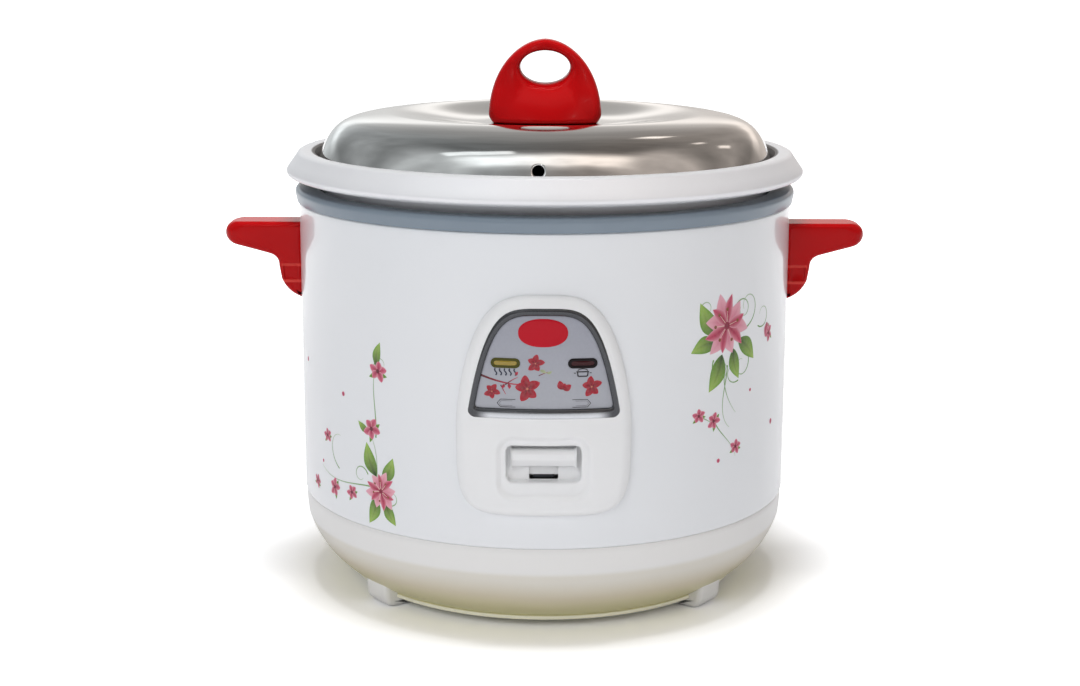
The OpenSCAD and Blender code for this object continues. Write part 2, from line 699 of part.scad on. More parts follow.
module warm_thermostat() {
    rotate([0, 0, 40]) translate([42, 0, 0]) {
        color("white") translate([0, 0, plate_z - 8]) cylinder(d = 15, h = 7);
        color("silver") translate([0, 0, plate_z - 1]) cylinder(d = 16.5, h = 1);
        color("goldenrod") for (y = [-13, 6]) translate([-2.4, y, plate_z - 6]) cube([4.8, 7, 0.8]);
    }
}
module thermal_fuse() {
    color("tan") rotate([0, 0, -42]) translate([42, -9, plate_z - fuse_d / 2 - clear])
        rotate([-90, 0, 0]) {
            cylinder(d = fuse_d, h = 18);
            translate([0, 0, -5]) cylinder(d = 1.2, h = 28);
        }
}
module fuse_clip() {
    color("silver") rotate([0, 0, -42]) translate([42, 0, plate_z]) difference() {
        union() {
            translate([-4, -3, -fuse_d - 1.6]) cube([8, 6, fuse_d + 1.6]);
            translate([-4, -3, -0.8]) cube([12, 6, 0.8]);
        }
        translate([0, -4, -fuse_d / 2 - clear]) rotate([-90, 0, 0]) cylinder(d = fuse_d + 0.2, h = 8);
        translate([-fuse_d / 2 - 0.1, -4, -fuse_d / 2 - clear]) cube([fuse_d + 0.2, 8, fuse_d]);
    }
}

// ---- Switch panel ----

// Right half of the panel's outline, then the arched outline of the bezel and the label.
// The half width falls off like a power of the height that is left
function panel_edge() =
    let (n = 14)
    concat([for (i = [n:-1:0]) let (t = sin(90 * i / n))
            [panel_half * pow(1 - pow(t, 4.5), 0.17), panel_z + panel_low * (1 - t)]],
        [for (i = [1:n]) let (t = 1 - pow(1 - i / n, 2))
            [panel_half * pow(1 - pow(t, 1.5), 0.28), panel_z + panel_low + (panel_h - panel_low) * t]]);
function arch_outline(half, low, high, corner) =
    let (n = 18, foot = low + corner)
    mirrored(concat(arc([half - corner, foot], corner, -90, 0, 5),
        [for (i = [1:n]) let (t = 1 - pow(1 - i / n, 2))
            [half * pow(1 - t, 0.24), foot + t * (high - foot)]]));

module shell_band(r_in, r_out) {
    intersection() {
        upright(big) children();
        translate([0, 0, seam_z]) tube(r_out, r_in, shell_h);
    }
}
module front_panel() {
    color("white") difference() {
        union() {
            shell_band(body_r + clear, face_r) polygon(mirrored(panel_edge()));
            // Box of the switch pocket, let into the shell
            intersection() {
                translate([-pocket_half - 1.8, -big, pocket_low - 1.8])
                    cube([2 * pocket_half + 3.6, big + pocket_y + pocket_wall,
                        pocket_high - pocket_low + 3.6]);
                translate([0, 0, seam_z]) cylinder(r = face_r, h = shell_h);
            }
        }
        // Shallow dish round the pocket, then the pocket and the slot in its back
        difference() {
            translate([-pocket_half - 5.3, -big, pocket_low - 10]) cube([2 * pocket_half + 10.6, big, 32]);
            cylinder(r = face_r - 1.2, h = big);
        }
        translate([-pocket_half, -big, pocket_low])
            cube([2 * pocket_half, big + pocket_y, pocket_high - pocket_low]);
        translate([-neck_half - 1.4, -big, pocket_low])
            cube([2 * neck_half + 2.8, big - 10, button_low + 1 + neck_h + clear - pocket_low]);
        difference() {
            upright(big)
                polygon(arch_outline(bezel_half + 2 * fit, bezel_low - 2 * fit, bezel_high + 2 * fit, 3.4));
            cylinder(r = bezel_seat, h = big);
        }
        for (a = [-lens_az, lens_az]) ray(a - 90, lens_z) lens_body(fit, body_r);
        for (s = panel_screws_at) ray_hole(s.x - 90, panel_z + s.y, body_r - 1, 3 + 2 * fit, panel_t);
    }
}
module panel_bezel() {
    w = bezel_w;
    color("dimgray") shell_band(bezel_seat + fit, face_r + 0.8) difference() {
        polygon(arch_outline(bezel_half, bezel_low, bezel_high, 3.4));
        polygon(arch_outline(bezel_half - w, bezel_low + bezel_foot, bezel_high - w, 1.6));
    }
}
module label_plate() {
    w = bezel_w + fit;
    color("thistle") difference() {
        shell_band(bezel_seat + fit, bezel_seat + 0.6)
            polygon(arch_outline(bezel_half - w, bezel_low + bezel_foot, bezel_high - w, 1.6));
        for (a = [-lens_az, lens_az]) ray(a - 90, lens_z) lens_body(fit, body_r);
    }
}

// Lenses, lamps and their holder. Local +X points out of the body
module lens_body(grow, from) {
    translate([from, -lens_w / 2 - grow, -lens_h / 2 - grow])
        cube([bezel_seat + 1 - from, lens_w + 2 * grow, lens_h + 2 * grow]);
}
module lens(a) {
    ray(a - 90, lens_z) {
        lens_body(0, body_r - 1);
        translate([body_r - 1.8, -lens_w / 2 - 1, -lens_h / 2 - 1]) cube([1.6, lens_w + 2, lens_h + 2]);
    }
}
module warm_lens() { color("gold") lens(-lens_az); }
module cook_lens() { color("darkred") lens(lens_az); }
// Glow lamp with its tip away from the middle
module lamp(a) {
    ray(a - 90, lens_z) translate([lamp_r, 0, 0]) rotate([-sign(a) * 90, 0, 0]) {
        translate([0, 0, -lamp_half]) cylinder(d = 4.6, h = 2 * lamp_half);
        translate([0, 0, lamp_half]) cylinder(d1 = 4.6, d2 = 2, h = 1.6);
    }
}
module warm_lamp() { color("orange") lamp(-lens_az); }
module cook_lamp() { color("orangered") lamp(lens_az); }
module lamp_holder() {
    ears = [for (s = panel_screws_at) if (s.y > 60) s];
    color("white") difference() {
        union() {
            intersection() {
                translate([0, 0, panel_z + 62]) tube(wall_r - 0.1, holder_r, 20);
                translate([-34, -big, 0]) cube([68, big, big]);
            }
            for (a = [-lens_az, lens_az], y = [-5.6, 4])
                ray(a - 90, lens_z) translate([lamp_r - 2.6, y, -5]) cube([holder_r - lamp_r + 3.4, 1.6, 10]);
        }
        for (a = [-lens_az, lens_az]) ray(a - 90, lens_z) {
            translate([lamp_r, 50, 0]) rotate([90, 0, 0]) cylinder(d = 4.6 + 2 * fit, h = 100);
            translate([holder_r + 0.4, -lens_w / 2 - 1.4, -lens_h / 2 - 1.4])
                cube([8, lens_w + 2.8, lens_h + 2.8]);
        }
        for (s = ears) ray_hole(s.x - 90, panel_z + s.y, holder_r - 2, 3 + 2 * fit, 5);
    }
}
module panel_screws() {
    color("silver") for (s = panel_screws_at) {
        seat = s.y > 60 ? holder_r - 0.15 : wall_r - 0.1;
        ray_screw(s.x - 90, panel_z + s.y, seat, 3, body_r + panel_t - 1.2 - seat, 5, 1.8);
    }
}

// ---- Appliance inlet ----

module inlet_boss() {
    translate([-inlet_w / 2 - 2, inlet_in, inlet_z - inlet_h / 2 - 2])
        cube([inlet_w + 4, inlet_y - inlet_in, inlet_h + 4]);
}
module inlet_cuts() {
    difference() {
        translate([-inlet_w / 2 + 0.5, inlet_in + 10, inlet_z - inlet_h / 2 + 0.5])
            cube([inlet_w - 1, inlet_y - base_t - inlet_in - 10, inlet_h - 1]);
        for (x = [-inlet_screw_x, inlet_screw_x])
            translate([x, inlet_in, inlet_z]) rotate([-90, 0, 0]) cylinder(d = 7, h = 60);
    }
    translate([-socket_w / 2 - 2 - clear, inlet_in + 10, inlet_z - socket_h / 2 - 2 - clear])
        cube([socket_w + 4 + 2 * clear, 60, socket_h + 4 + 2 * clear]);
    for (x = [-inlet_screw_x, inlet_screw_x]) translate([x, inlet_in, inlet_z]) rotate([-90, 0, 0]) {
        cylinder(d = 8, h = 34);
        cylinder(d = 3 + 2 * fit, h = 53);
    }
}
module inlet_housing() {
    face = inlet_y + inlet_flange_t;
    corner = 3.4;
    half = [socket_w, socket_h] / 2;
    opening = mirrored([[half.x, -half.y], [half.x, half.y - corner], [half.x - corner, half.y]]);
    color("black") difference() {
        union() {
            translate([-inlet_w / 2, inlet_y, inlet_z - inlet_h / 2])
                cube([inlet_w, inlet_flange_t, inlet_h]);
            translate([-socket_w / 2 - 2, inlet_y - socket_depth - 5, inlet_z - socket_h / 2 - 2])
                cube([socket_w + 4, socket_depth + 6, socket_h + 4]);
        }
        translate([0, face + 1, inlet_z]) rotate([90, 0, 0])
            linear_extrude(socket_depth + 1) polygon(opening);
        for (p = pin_at)
            translate([p.x - 1 - fit, pin_end - 20, inlet_z + p.y - 2 - fit])
                cube([2 + 2 * fit, socket_depth + 25, 4 + 2 * fit]);
        for (x = [-inlet_screw_x, inlet_screw_x]) translate([x, inlet_y - 1, inlet_z]) rotate([-90, 0, 0]) {
            cylinder(d = 3 + 2 * fit, h = 10);
            translate([0, 0, inlet_flange_t - 0.6]) cylinder(d = 6, h = 10);
        }
    }
}
module inlet_pins() {
    color("silver") for (p = pin_at)
        translate([p.x - 1, pin_end, inlet_z + p.y - 2]) cube([2, socket_depth + 11, 4]);
}
module inlet_screws() {
    color("silver") for (x = [-inlet_screw_x, inlet_screw_x])
        translate([x, inlet_y + inlet_flange_t - 1.6, inlet_z]) rotate([90, 0, 0]) screw(3, 8, 5.4, 1.5);
}

// ---- Handles ----

// Side view of a handle on the right, from the top of its root round its tip to its toe
function handle_side() =
    let (tip = body_r + handle_reach, top = handle_top, r = 6.3)
    concat([[body_r - 4, top]], arc([tip - r, top - r], r, 90, -78, 8),
        bow([body_r + 16.6, top - 17], [body_r + 11.6, top - 23.5], -1.6, 5),
        bow([body_r + 10.4, top - 30.5], [body_r, top - 40.4], 1.6, 5), [[body_r - 4, top - 41.4]]);
// Plan of a handle on the right, round its tip
function handle_plan(half, tip, corner) =
    concat([[body_r - 6, -half + 1]], arc([tip - corner, -half + corner], corner, -90, 0, 6),
        arc([tip - corner, half - corner], corner, 0, 90, 6), [[body_r - 6, half - 1]]);
module handle() {
    half = handle_w / 2;
    corner = min(12, half - 3);
    tip = body_r + handle_reach;
    color("crimson") difference() {
        intersection() {
            translate([0, half, 0]) rotate([90, 0, 0]) linear_extrude(handle_w) polygon(handle_side());
            translate([0, 0, seam_z]) linear_extrude(shell_h) polygon(handle_plan(half, tip, corner));
        }
        translate([0, 0, -1]) cylinder(r = body_r + clear, h = big);
        // Hollow moulding of the grip, open below
        intersection() {
            translate([body_r + 16, -half, seam_z])
                cube([handle_reach, handle_w, handle_top - seam_z - handle_t]);
            translate([0, 0, seam_z - 1]) linear_extrude(shell_h)
                polygon(handle_plan(half - handle_t, tip - handle_t, corner - handle_t));
        }
        for (s = handle_screws_at) ray_hole(s.x, handle_top + s.y, body_r - 3, 4 + 2 * fit, 10.4);
    }
}
module handle_right() { handle(); }
module handle_left() { rotate([0, 0, 180]) handle(); }
module handle_screws() {
    color("silver") for (turn = [0, 180], s = handle_screws_at)
        ray_screw(turn + s.x, handle_top + s.y, wall_r - 0.15, 4, 7.5, 7.4, 2.4);
}

// ---- Pot, lid and knob ----

module inner_pot() {
    in_r = pot_r - pot_t;
    low = plate_top + rest + pot_t;
    path = concat([[0, low]], arc([in_r - 12, low + 12], 12, -90, 0, 8),
        [[in_r, lid_seat - 1.6], [in_r + 1.6, lid_seat], [mouth_r, lid_seat], [mouth_r + 1, pot_top - 1]],
        [[mouth_r + 2.4, pot_top - 0.4], [mouth_r + 4, pot_top]],
        arc([flange_r - 8.4, pot_top - 3.2], 3.2, 80, 25, 5),
        arc([flange_r - 2.4, flange_z + 3.4], 2.4, 20, -65, 6), [[flange_r - 5, flange_z]]);
    color("gainsboro") spin(sheet(path, -pot_t));
}
function dome(r) = dome_z + dome_h * (1 - pow(r / dome_r, 13));
module lid() {
    n = 22;
    path = concat([[0, recess_z], [recess_r - 1.5, recess_z], [recess_r + 1.5, dome(recess_r) - 0.4]],
        [for (i = [1:n]) let (r = dome_r - 0.2 - (dome_r - recess_r - 2.2) * pow(1 - i / n, 2)) [r, dome(r)]],
        [[dome_r + 0.3, lid_seat + 1.6], [mouth_r - 0.6, lid_seat + rest + lid_t]]);
    color("silver") difference() {
        spin(sheet(path, -lid_t));
        translate([0, 0, recess_z - 5]) cylinder(d = 4 + 2 * fit, h = 10);
        // Vent at the front, square to the dome's slope
        rotate([0, 0, vent_az]) translate([0, -vent_r, dome(vent_r)]) rotate([62, 0, 0])
            cylinder(d = vent_d, h = 8, center = true);
    }
}
module knob() {
    half = knob_w / 2;
    n = 12;
    front = mirrored(concat([[half - 3, 0], [half - 1, 1.2], [half, 3.5]],
        [for (i = [1:n]) let (t = sin(90 * i / n))
            [half * pow(1 - pow(t, 1.9), 0.58), 3.5 + t * (knob_h - 3.5)]]));
    deep = knob_depth / 2;
    flank = mirrored([[deep - 2, 0], [deep, 2], [deep - 0.6, 5], [deep - 4.5, 11], [deep - 8.4, 18],
        [deep - 10.8, 27], [deep - 11.6, knob_h - 5], [deep - 14, knob_h]]);
    color("crimson") translate([0, 0, recess_z]) difference() {
        intersection() {
            translate([0, big / 2, 0]) upright(big) polygon(front);
            translate([-big / 2, 0, 0]) rotate([90, 0, 90]) linear_extrude(big) polygon(flank);
        }
        // Oval finger hole
        translate([0, big / 2, knob_h - 14.5]) upright(big)
            polygon([for (a = [0:10:350]) [13 * cos(a), 8.5 * sin(a)]]);
        translate([-12.5, -big / 2, -1]) cube([25, big, 2.6]);
        translate([0, 0, -1]) cylinder(d = 4 + 2 * fit, h = 13);
        // Hollow underside round the screw boss
        difference() {
            translate([-half + 6, -deep + 6, -1]) cube([knob_w - 12, knob_depth - 12, 9]);
            translate([0, 0, -2]) cylinder(r = 6, h = 12);
        }
    }
}
module knob_screw() {
    color("silver") translate([0, 0, recess_z - lid_t - 1]) screw(4, 12, 8, 2.6);
}
module knob_washer() {
    color("gray") translate([0, 0, recess_z - lid_t - 1]) tube(8, 2 + fit, 1);
}

// ---- Wiring ----

module wire_live() {
    z = inlet_z + pin_at[1].y;
    color("brown") wire([[7, pin_end, z], [7, pin_end - 10, z], [26, 72, z - 8], [26, 16, z - 8],
        [blade_x, blade_y + 18, blade_z.x - 7], [blade_x, blade_y + 8, blade_z.x],
        [blade_x, blade_y, blade_z.x]], wire_d);
}
module wire_heater() {
    color("red") wire([[blade_x, blade_y, blade_z.y], [blade_x, blade_y + 9, blade_z.y],
        [24, 12, lever_z - 4], [terminal.x, terminal.y - 12, lever_z - 8],
        [terminal.x, terminal.y, lever_z - 5], [terminal.x, terminal.y, floor_z - 8]], wire_d);
}
module wire_neutral() {
    z = inlet_z + pin_at[0].y;
    color("royalblue") wire([[-7, pin_end, z], [-7, pin_end - 12, z], [-terminal.x, terminal.y + 15, z + 4],
        [-terminal.x, terminal.y, z + 8], [-terminal.x, terminal.y, floor_z - 8]], wire_d);
}
module wire_earth() {
    z = inlet_z + pin_at[2].y;
    color("limegreen") {
        wire([[0, pin_end, z], [0, pin_end - 7, z], [0, post_r + 9, z + 8], [0, post_r + 8, floor_z - tag_t]],
            wire_d);
        translate([0, post_r, floor_z - tag_t]) difference() {
            union() {
                cylinder(r = 4.4, h = tag_t);
                translate([-1.6, 0, 0]) cube([3.2, 9.6, tag_t]);
            }
            translate([0, 0, -1]) cylinder(d = 4 + 2 * fit, h = 3);
        }
    }
}
module wire_lamps() {
    gap_y = -(liner_r + 2);
    color("white") for (s = [-1, 1]) {
        turn = s * lens_az - 90;
        across = s * [-sin(turn), cos(turn)];
        start = lamp_r * [cos(turn), sin(turn)] - lamp_half * across;
        next = start - 2.2 * across;
        z = s < 0 ? blade_z.y : blade_z.x;
        wire([[start.x, start.y, lens_z], [next.x, next.y, lens_z], [s * 11.6, gap_y, pocket_high + 8],
            [s * 11.6, gap_y, floor_z - 4], [s < 0 ? -12.4 : 20, gap_y + 18, z],
            [s < 0 ? -12.4 : 20, blade_y - 2.5, z], [blade_x + s * 0.5, blade_y - 2.5, z]], 1.8);
    }
}

outer_shell();
top_ring();
ring_screws();
base();
bottom_plate();
bottom_plate_screws();
inner_liner();
liner_nuts();
base_screws();
heating_plate();
heating_element();
element_bushes();
plate_posts();
plate_screws();
thermostat_housing();
thermostat_screws();
sensor_cap();
sensor_spring();
ferrite_disc();
magnet();
magnet_rod();
magnet_spring();
lever_bracket();
bracket_screws();
lever_pin();
pin_clip();
switch_lever();
switch_button();
button_link();
microswitch();
microswitch_plunger();
microswitch_screws();
warm_thermostat();
thermal_fuse();
fuse_clip();
front_panel();
panel_bezel();
label_plate();
warm_lens();
cook_lens();
warm_lamp();
cook_lamp();
lamp_holder();
panel_screws();
inlet_housing();
inlet_pins();
inlet_screws();
handle_left();
handle_right();
handle_screws();
inner_pot();
lid();
knob();
knob_screw();
knob_washer();
wire_live();
wire_heater();
wire_neutral();
wire_earth();
wire_lamps();
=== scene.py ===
import bmesh
import bpy
import numpy as np
from mathutils import Matrix, Vector


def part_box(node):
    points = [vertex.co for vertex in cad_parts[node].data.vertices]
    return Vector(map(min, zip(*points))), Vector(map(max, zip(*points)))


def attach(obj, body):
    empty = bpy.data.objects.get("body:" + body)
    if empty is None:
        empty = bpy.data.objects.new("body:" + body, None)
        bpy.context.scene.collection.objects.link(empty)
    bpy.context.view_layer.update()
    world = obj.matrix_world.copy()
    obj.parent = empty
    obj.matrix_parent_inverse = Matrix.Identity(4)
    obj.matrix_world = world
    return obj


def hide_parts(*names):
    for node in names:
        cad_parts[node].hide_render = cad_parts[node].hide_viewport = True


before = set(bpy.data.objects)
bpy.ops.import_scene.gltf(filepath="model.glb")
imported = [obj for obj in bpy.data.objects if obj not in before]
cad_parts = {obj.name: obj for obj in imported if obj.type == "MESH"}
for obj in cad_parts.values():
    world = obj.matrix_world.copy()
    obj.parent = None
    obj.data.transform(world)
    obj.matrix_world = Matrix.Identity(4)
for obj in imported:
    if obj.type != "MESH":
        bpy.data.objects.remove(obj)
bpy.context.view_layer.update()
print("frame loaded:", len(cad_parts), "nodes")

mm = 0.001
tau = 2 * np.pi


def span(node):
    # lowest and highest corner of a CAD node, in millimetres
    low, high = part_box(node)
    return np.array(low) / mm, np.array(high) / mm


# sizes that many pieces share, all taken from the frame
body = {
    "r": span("outer_shell")[1][0],
    "seam": span("outer_shell")[0][2],
    "shellTop": span("outer_shell")[1][2],
    "ringTop": span("top_ring")[1][2],
    "ringR": span("top_ring")[1][0],
    "potTop": span("inner_pot")[1][2],
    "flangeR": span("inner_pot")[1][0],
    "flangeZ": span("top_ring")[1][2] + 5.0,
    "lidTop": span("lid")[1][2],
}
body["rim"], body["kink"] = body["seam"] - 45.0, body["seam"] - 13.0  # the base's lowest edge, and where it bends in


# paths

def roundPath(corners, fine=6, closed=False):
    # each corner (x, z, r) becomes an arc of radius r tangent to both of its sides
    pts = np.array(corners, float)
    out = []
    for k in range(len(pts)):
        p, r = pts[k, :2], pts[k, 2]
        if r <= 0 or (not closed and k in (0, len(pts) - 1)):
            out.append(p[None])
            continue
        a = pts[k - 1, :2] - p
        b = pts[(k + 1) % len(pts), :2] - p
        la, lb = np.linalg.norm(a), np.linalg.norm(b)
        a, b = a / la, b / lb
        half = np.arccos(np.clip(a @ b, -1, 1)) / 2
        cut = min(r / np.tan(half), 0.49 * la, 0.49 * lb)
        r = cut * np.tan(half)
        centre = p + (a + b) / np.linalg.norm(a + b) * r / np.sin(half)
        u, v = p + a * cut - centre, p + b * cut - centre
        turn = np.arctan2(u[0] * v[1] - u[1] * v[0], u @ v)
        t = np.linspace(0, turn, fine + 1)[:, None]
        out.append(centre + np.cos(t) * u + np.sin(t) * np.array([-u[1], u[0]]))
    return np.concatenate(out)


def evenly(path, step):
    # extra points on a path's long stretches, so that no stretch is longer than step
    out = [path[:1]]
    for p, q in zip(path[:-1], path[1:]):
        n = max(1, int(np.ceil(np.linalg.norm(q - p) / step)))
        out.append(p + (q - p) * (np.arange(1, n + 1) / n)[:, None])
    return np.concatenate(out)


def beside(path, t, closed=False):
    # the path moved t to its left, each point along the mean of its two sides' normals
    before = path - np.roll(path, 1, 0)
    after = np.roll(path, -1, 0) - path
    if not closed:
        before[0], after[-1] = after[0], before[-1]
    a, b = (np.stack([-d[:, 1], d[:, 0]], 1) / np.linalg.norm(d, axis=1)[:, None] for d in (before, after))
    return path + t * (a + b) / (1 + (a * b).sum(1))[:, None]


def swell(p, q, s, n=16):
    # n steps from p to q, moved sideways by a parabola that is s high in the middle, to the right of the way
    p, q = np.array(p, float), np.array(q, float)
    t = np.linspace(0, 1, n + 1)[:, None]
    way = (q - p) / np.linalg.norm(q - p)
    return p + (q - p) * t + np.array([way[1], -way[0]]) * 4 * s * t * (1 - t)


def arcPoints(centre, r, start, end, n=8):
    # points on an arc, angles in degrees
    a = np.radians(np.linspace(start, end, n + 1))
    return np.array(centre, float) + r * np.stack([np.cos(a), np.sin(a)], 1)


def lengths(path):
    # how far along the path each of its points lies
    return np.concatenate([[0], np.cumsum(np.linalg.norm(np.diff(path, axis=0), axis=1))])


def resample(path, n):
    # n points spaced evenly round a closed path
    path = np.concatenate([path, path[:1]])
    s = lengths(path)
    t = np.linspace(0, s[-1], n + 1)[:-1]
    return np.stack([np.interp(t, s, path[:, k]) for k in (0, 1)], 1)


def boxOutline(half, low, high, corner, fine=8):
    # a rectangle of half width half from low to high, with rounded corners
    return roundPath([(x, z, corner) for x, z in ((-half, low), (half, low), (half, high), (-half, high))], fine, True)


def mirrored(right):
    # a right half outline and its mirror image; the two ends on the middle line come once
    return np.concatenate([right, right[::-1][1:-1] * [-1, 1]])


def onRays(path, centre, rays):
    # where the rays from centre through the points rays meet a closed path round the centre
    path = evenly(np.concatenate([path, path[:1]]), 0.1)[:-1]
    d, e = path - centre, rays - centre
    angle, want = np.arctan2(d[:, 1], d[:, 0]), np.arctan2(e[:, 1], e[:, 0])
    order = np.argsort(angle)
    reach = np.interp(want, angle[order], np.linalg.norm(d, axis=1)[order], period=tau)
    return centre + reach[:, None] * np.stack([np.cos(want), np.sin(want)], 1)


def smoothStep(t):
    # 0 up to t = 0, 1 from t = 1 and an even S between them
    t = np.clip(t, 0, 1)
    return t * t * (3 - 2 * t)


# meshes from arrays

def cells(n, m, wrapU=False, wrapV=False):
    # the quads of an n by m grid of points, numbered row by row
    i, j = np.meshgrid(np.arange(n if wrapU else n - 1), np.arange(m if wrapV else m - 1), indexing="ij")
    k, l = (i + 1) % n, (j + 1) % m
    return np.stack([i * m + j, k * m + j, k * m + l, i * m + l], -1).reshape(-1, 4)


def newObject(name, data):
    # an object of this mesh, lamp or camera, linked into the scene
    thing = bpy.data.objects.new(name, data)
    bpy.context.scene.collection.objects.link(thing)
    return thing


def makePiece(name, points, faces, finish, rides, caps=(), solid=True, tint=None, sharp=35, merge=True):
    # a mesh in metres from points in millimetres; a solid's faces are turned out by the sign of its volume
    points = np.asarray(points, float).reshape(-1, 3) * mm
    faces = np.asarray(faces, int)
    if solid and not len(caps):
        a, b, c, d = (points[faces[:, k]] for k in range(4))
        volume = (a * (np.cross(b, c) + np.cross(c, d))).sum()
        faces = faces[:, ::-1] if volume < 0 else faces
    mesh = bpy.data.meshes.new(name)
    mesh.from_pydata(points.tolist(), [], faces.tolist() + [list(map(int, cap)) for cap in caps])
    if tint is not None:
        layer = mesh.color_attributes.new("tint", "FLOAT_COLOR", "POINT")
        rgba = np.ones((len(points), 4), np.float32)
        rgba[:, :3] = np.asarray(tint).reshape(-1, 3)
        layer.data.foreach_set("color", rgba.ravel())
    work = bmesh.new()
    work.from_mesh(mesh)
    if merge:
        bmesh.ops.remove_doubles(work, verts=work.verts, dist=1e-6)
    if len(caps):
        bmesh.ops.recalc_face_normals(work, faces=work.faces)
    work.to_mesh(mesh)
    work.free()
    mesh.polygons.foreach_set("use_smooth", np.ones(len(mesh.polygons), bool))
    mesh.set_sharp_from_angle(angle=np.radians(sharp))
    mesh.materials.append(finish.material)
    piece = newObject(name, mesh)
    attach(piece, rides)
    return piece


def turned(profile, a):
    # a profile (r, z) turned about Z to the angles a: (r sin a, -r cos a, z), with a = 0 at the front
    r, z = np.asarray(profile, float).T
    return np.stack([np.outer(np.sin(a), r), -np.outer(np.cos(a), r), np.tile(z, (len(a), 1))], -1)


def lathe(name, profile, finish, rides, closed=True):
    # a profile turned all the way round
    steps = 256
    points = turned(profile, tau * np.arange(steps) / steps)
    return makePiece(name, points, cells(steps, len(profile), True, closed), finish, rides)


def slab(name, outline, levels, place, finish, rides, **more):
    # a closed outline stacked at levels (inset, height), so that its edges are rounded; place maps (u, v, h) to 3-D
    rings = np.stack([np.concatenate([beside(outline, inset, True), np.full((len(outline), 1), h)], 1)
                      for inset, h in levels])
    n, m = rings.shape[:2]
    caps = [np.arange(m)[::-1], np.arange(m) + (n - 1) * m]
    return makePiece(name, place(rings.reshape(-1, 3)), cells(n, m, False, True), finish, rides, caps=caps, **more)


def edgeLevels(low, high, edge, n=5):
    # levels of a slab whose two edges are quarter circles of radius edge
    a = np.radians(np.linspace(0, 90, n + 1))
    foot = [(edge * (1 - np.sin(t)), low + edge * (1 - np.cos(t))) for t in a]
    return foot + [(inset, high + low - h) for inset, h in foot[::-1]]


def facing(x=1, y=-1, lift=0.0):
    # a slab's place on an upright face: (x u, y h, v + lift)
    return lambda p: np.stack([x * p[:, 0], y * p[:, 2], p[:, 1] + lift], 1)


def thicken(piece, wall, even=False):
    # gives a sheet its wall, inwards
    layer = piece.modifiers.new("wall", "SOLIDIFY")
    layer.thickness, layer.offset, layer.use_even_offset = wall * mm, -1, even


def carve(piece, cutter):
    # takes the cutter's shape out of a piece and removes the cutter
    cut = piece.modifiers.new("cut", "BOOLEAN")
    cut.object, cut.operation, cut.solver = cutter, "DIFFERENCE", "EXACT"
    bpy.context.view_layer.update()
    seen = piece.evaluated_get(bpy.context.evaluated_depsgraph_get())
    mesh = bpy.data.meshes.new_from_object(seen)
    piece.modifiers.remove(cut)
    piece.data = mesh
    bpy.data.objects.remove(cutter)


def stand(piece, *nodes):
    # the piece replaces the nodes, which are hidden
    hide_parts(*nodes)
    return piece


slots = {name: node.data.materials[0].name for name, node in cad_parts.items()}


# materials

class Value:
    # wraps a node's output, so that sums, products and powers add their own Math nodes
    def __init__(self, nodes, socket):
        self.nodes, self.socket = nodes, socket

    def math(self, operation, *values):
        return self.nodes.node("ShaderNodeMath", {"operation": operation}, dict(enumerate(values)))

    def __add__(self, other): return self.math("ADD", self, other)
    def __radd__(self, other): return self.math("ADD", other, self)
    def __sub__(self, other): return self.math("SUBTRACT", self, other)
    def __rsub__(self, other): return self.math("SUBTRACT", other, self)
    def __mul__(self, other): return self.math("MULTIPLY", self, other)
    def __rmul__(self, other): return self.math("MULTIPLY", other, self)
    def __truediv__(self, other): return self.math("DIVIDE", self, other)
    def __rtruediv__(self, other): return self.math("DIVIDE", other, self)
    def __pow__(self, other): return self.math("POWER", self, other)
    def __rpow__(self, other): return self.math("POWER", other, self)
    def __abs__(self): return self.math("ABSOLUTE", self)


class Nodes:
    # a node tree that is built by calls
    def __init__(self, tree):
        self.tree = tree

    def node(self, kind, settings=None, inputs=None, output=0):
        # adds a node of any type: its settings first, ramp stops among them, then its sockets
        new = self.tree.nodes.new(kind)
        for key, value in (settings or {}).items():
            if key == "stops":
                ramp = new.color_ramp
                ramp.elements.remove(ramp.elements[1])
                ramp.elements[0].position, ramp.elements[0].color = value[0]
                for place, colour in value[1:]:
                    ramp.elements.new(place).color = colour
            else:
                setattr(new, key, value)
        self.feed(new, inputs or {})
        return Value(self, new.outputs[output])

    def feed(self, node, inputs):
        for key, value in inputs.items():
            if isinstance(value, Value):
                self.tree.links.new(value.socket, node.inputs[key])
            else:
                node.inputs[key].default_value = value

    def mix(self, factor, first, second, blend="MIX"):
        settings = {"data_type": "RGBA", "blend_type": blend}
        return self.node("ShaderNodeMix", settings, {0: factor, 6: first, 7: second}, 2)

    def ramp(self, factor, *stops):
        # stops are (place, colour)
        return self.node("ShaderNodeValToRGB", {"stops": [(p, tuple(c[:3]) + (1,)) for p, c in stops]}, {0: factor})

    def place(self):
        return self.node("ShaderNodeTexCoord", output=3)

    def axis(self, which):
        # one Object coordinate, in millimetres
        return self.node("ShaderNodeSeparateXYZ", inputs={0: self.place()}, output="XYZ".index(which)) * 1000.0

    def radius(self):
        # the distance from the upright axis, in millimetres
        return (self.axis("X") ** 2.0 + self.axis("Y") ** 2.0) ** 0.5

    def noise(self, scale, detail=3.0, where=None):
        # a cloudy pattern, from 0 to 1, over the Object coordinates or over where
        inputs = {"Vector": where or self.place(), "Scale": scale, "Detail": detail}
        return self.node("ShaderNodeTexNoise", inputs=inputs)

    def between(self, value, low, high, toLow=0.0, toHigh=1.0):
        # value scaled so that low gives toLow and high gives toHigh, and held there beyond them
        names = {"Value": value, "From Min": low, "From Max": high, "To Min": toLow, "To Max": toHigh}
        return self.node("ShaderNodeMapRange", {"interpolation_type": "SMOOTHSTEP"}, names)


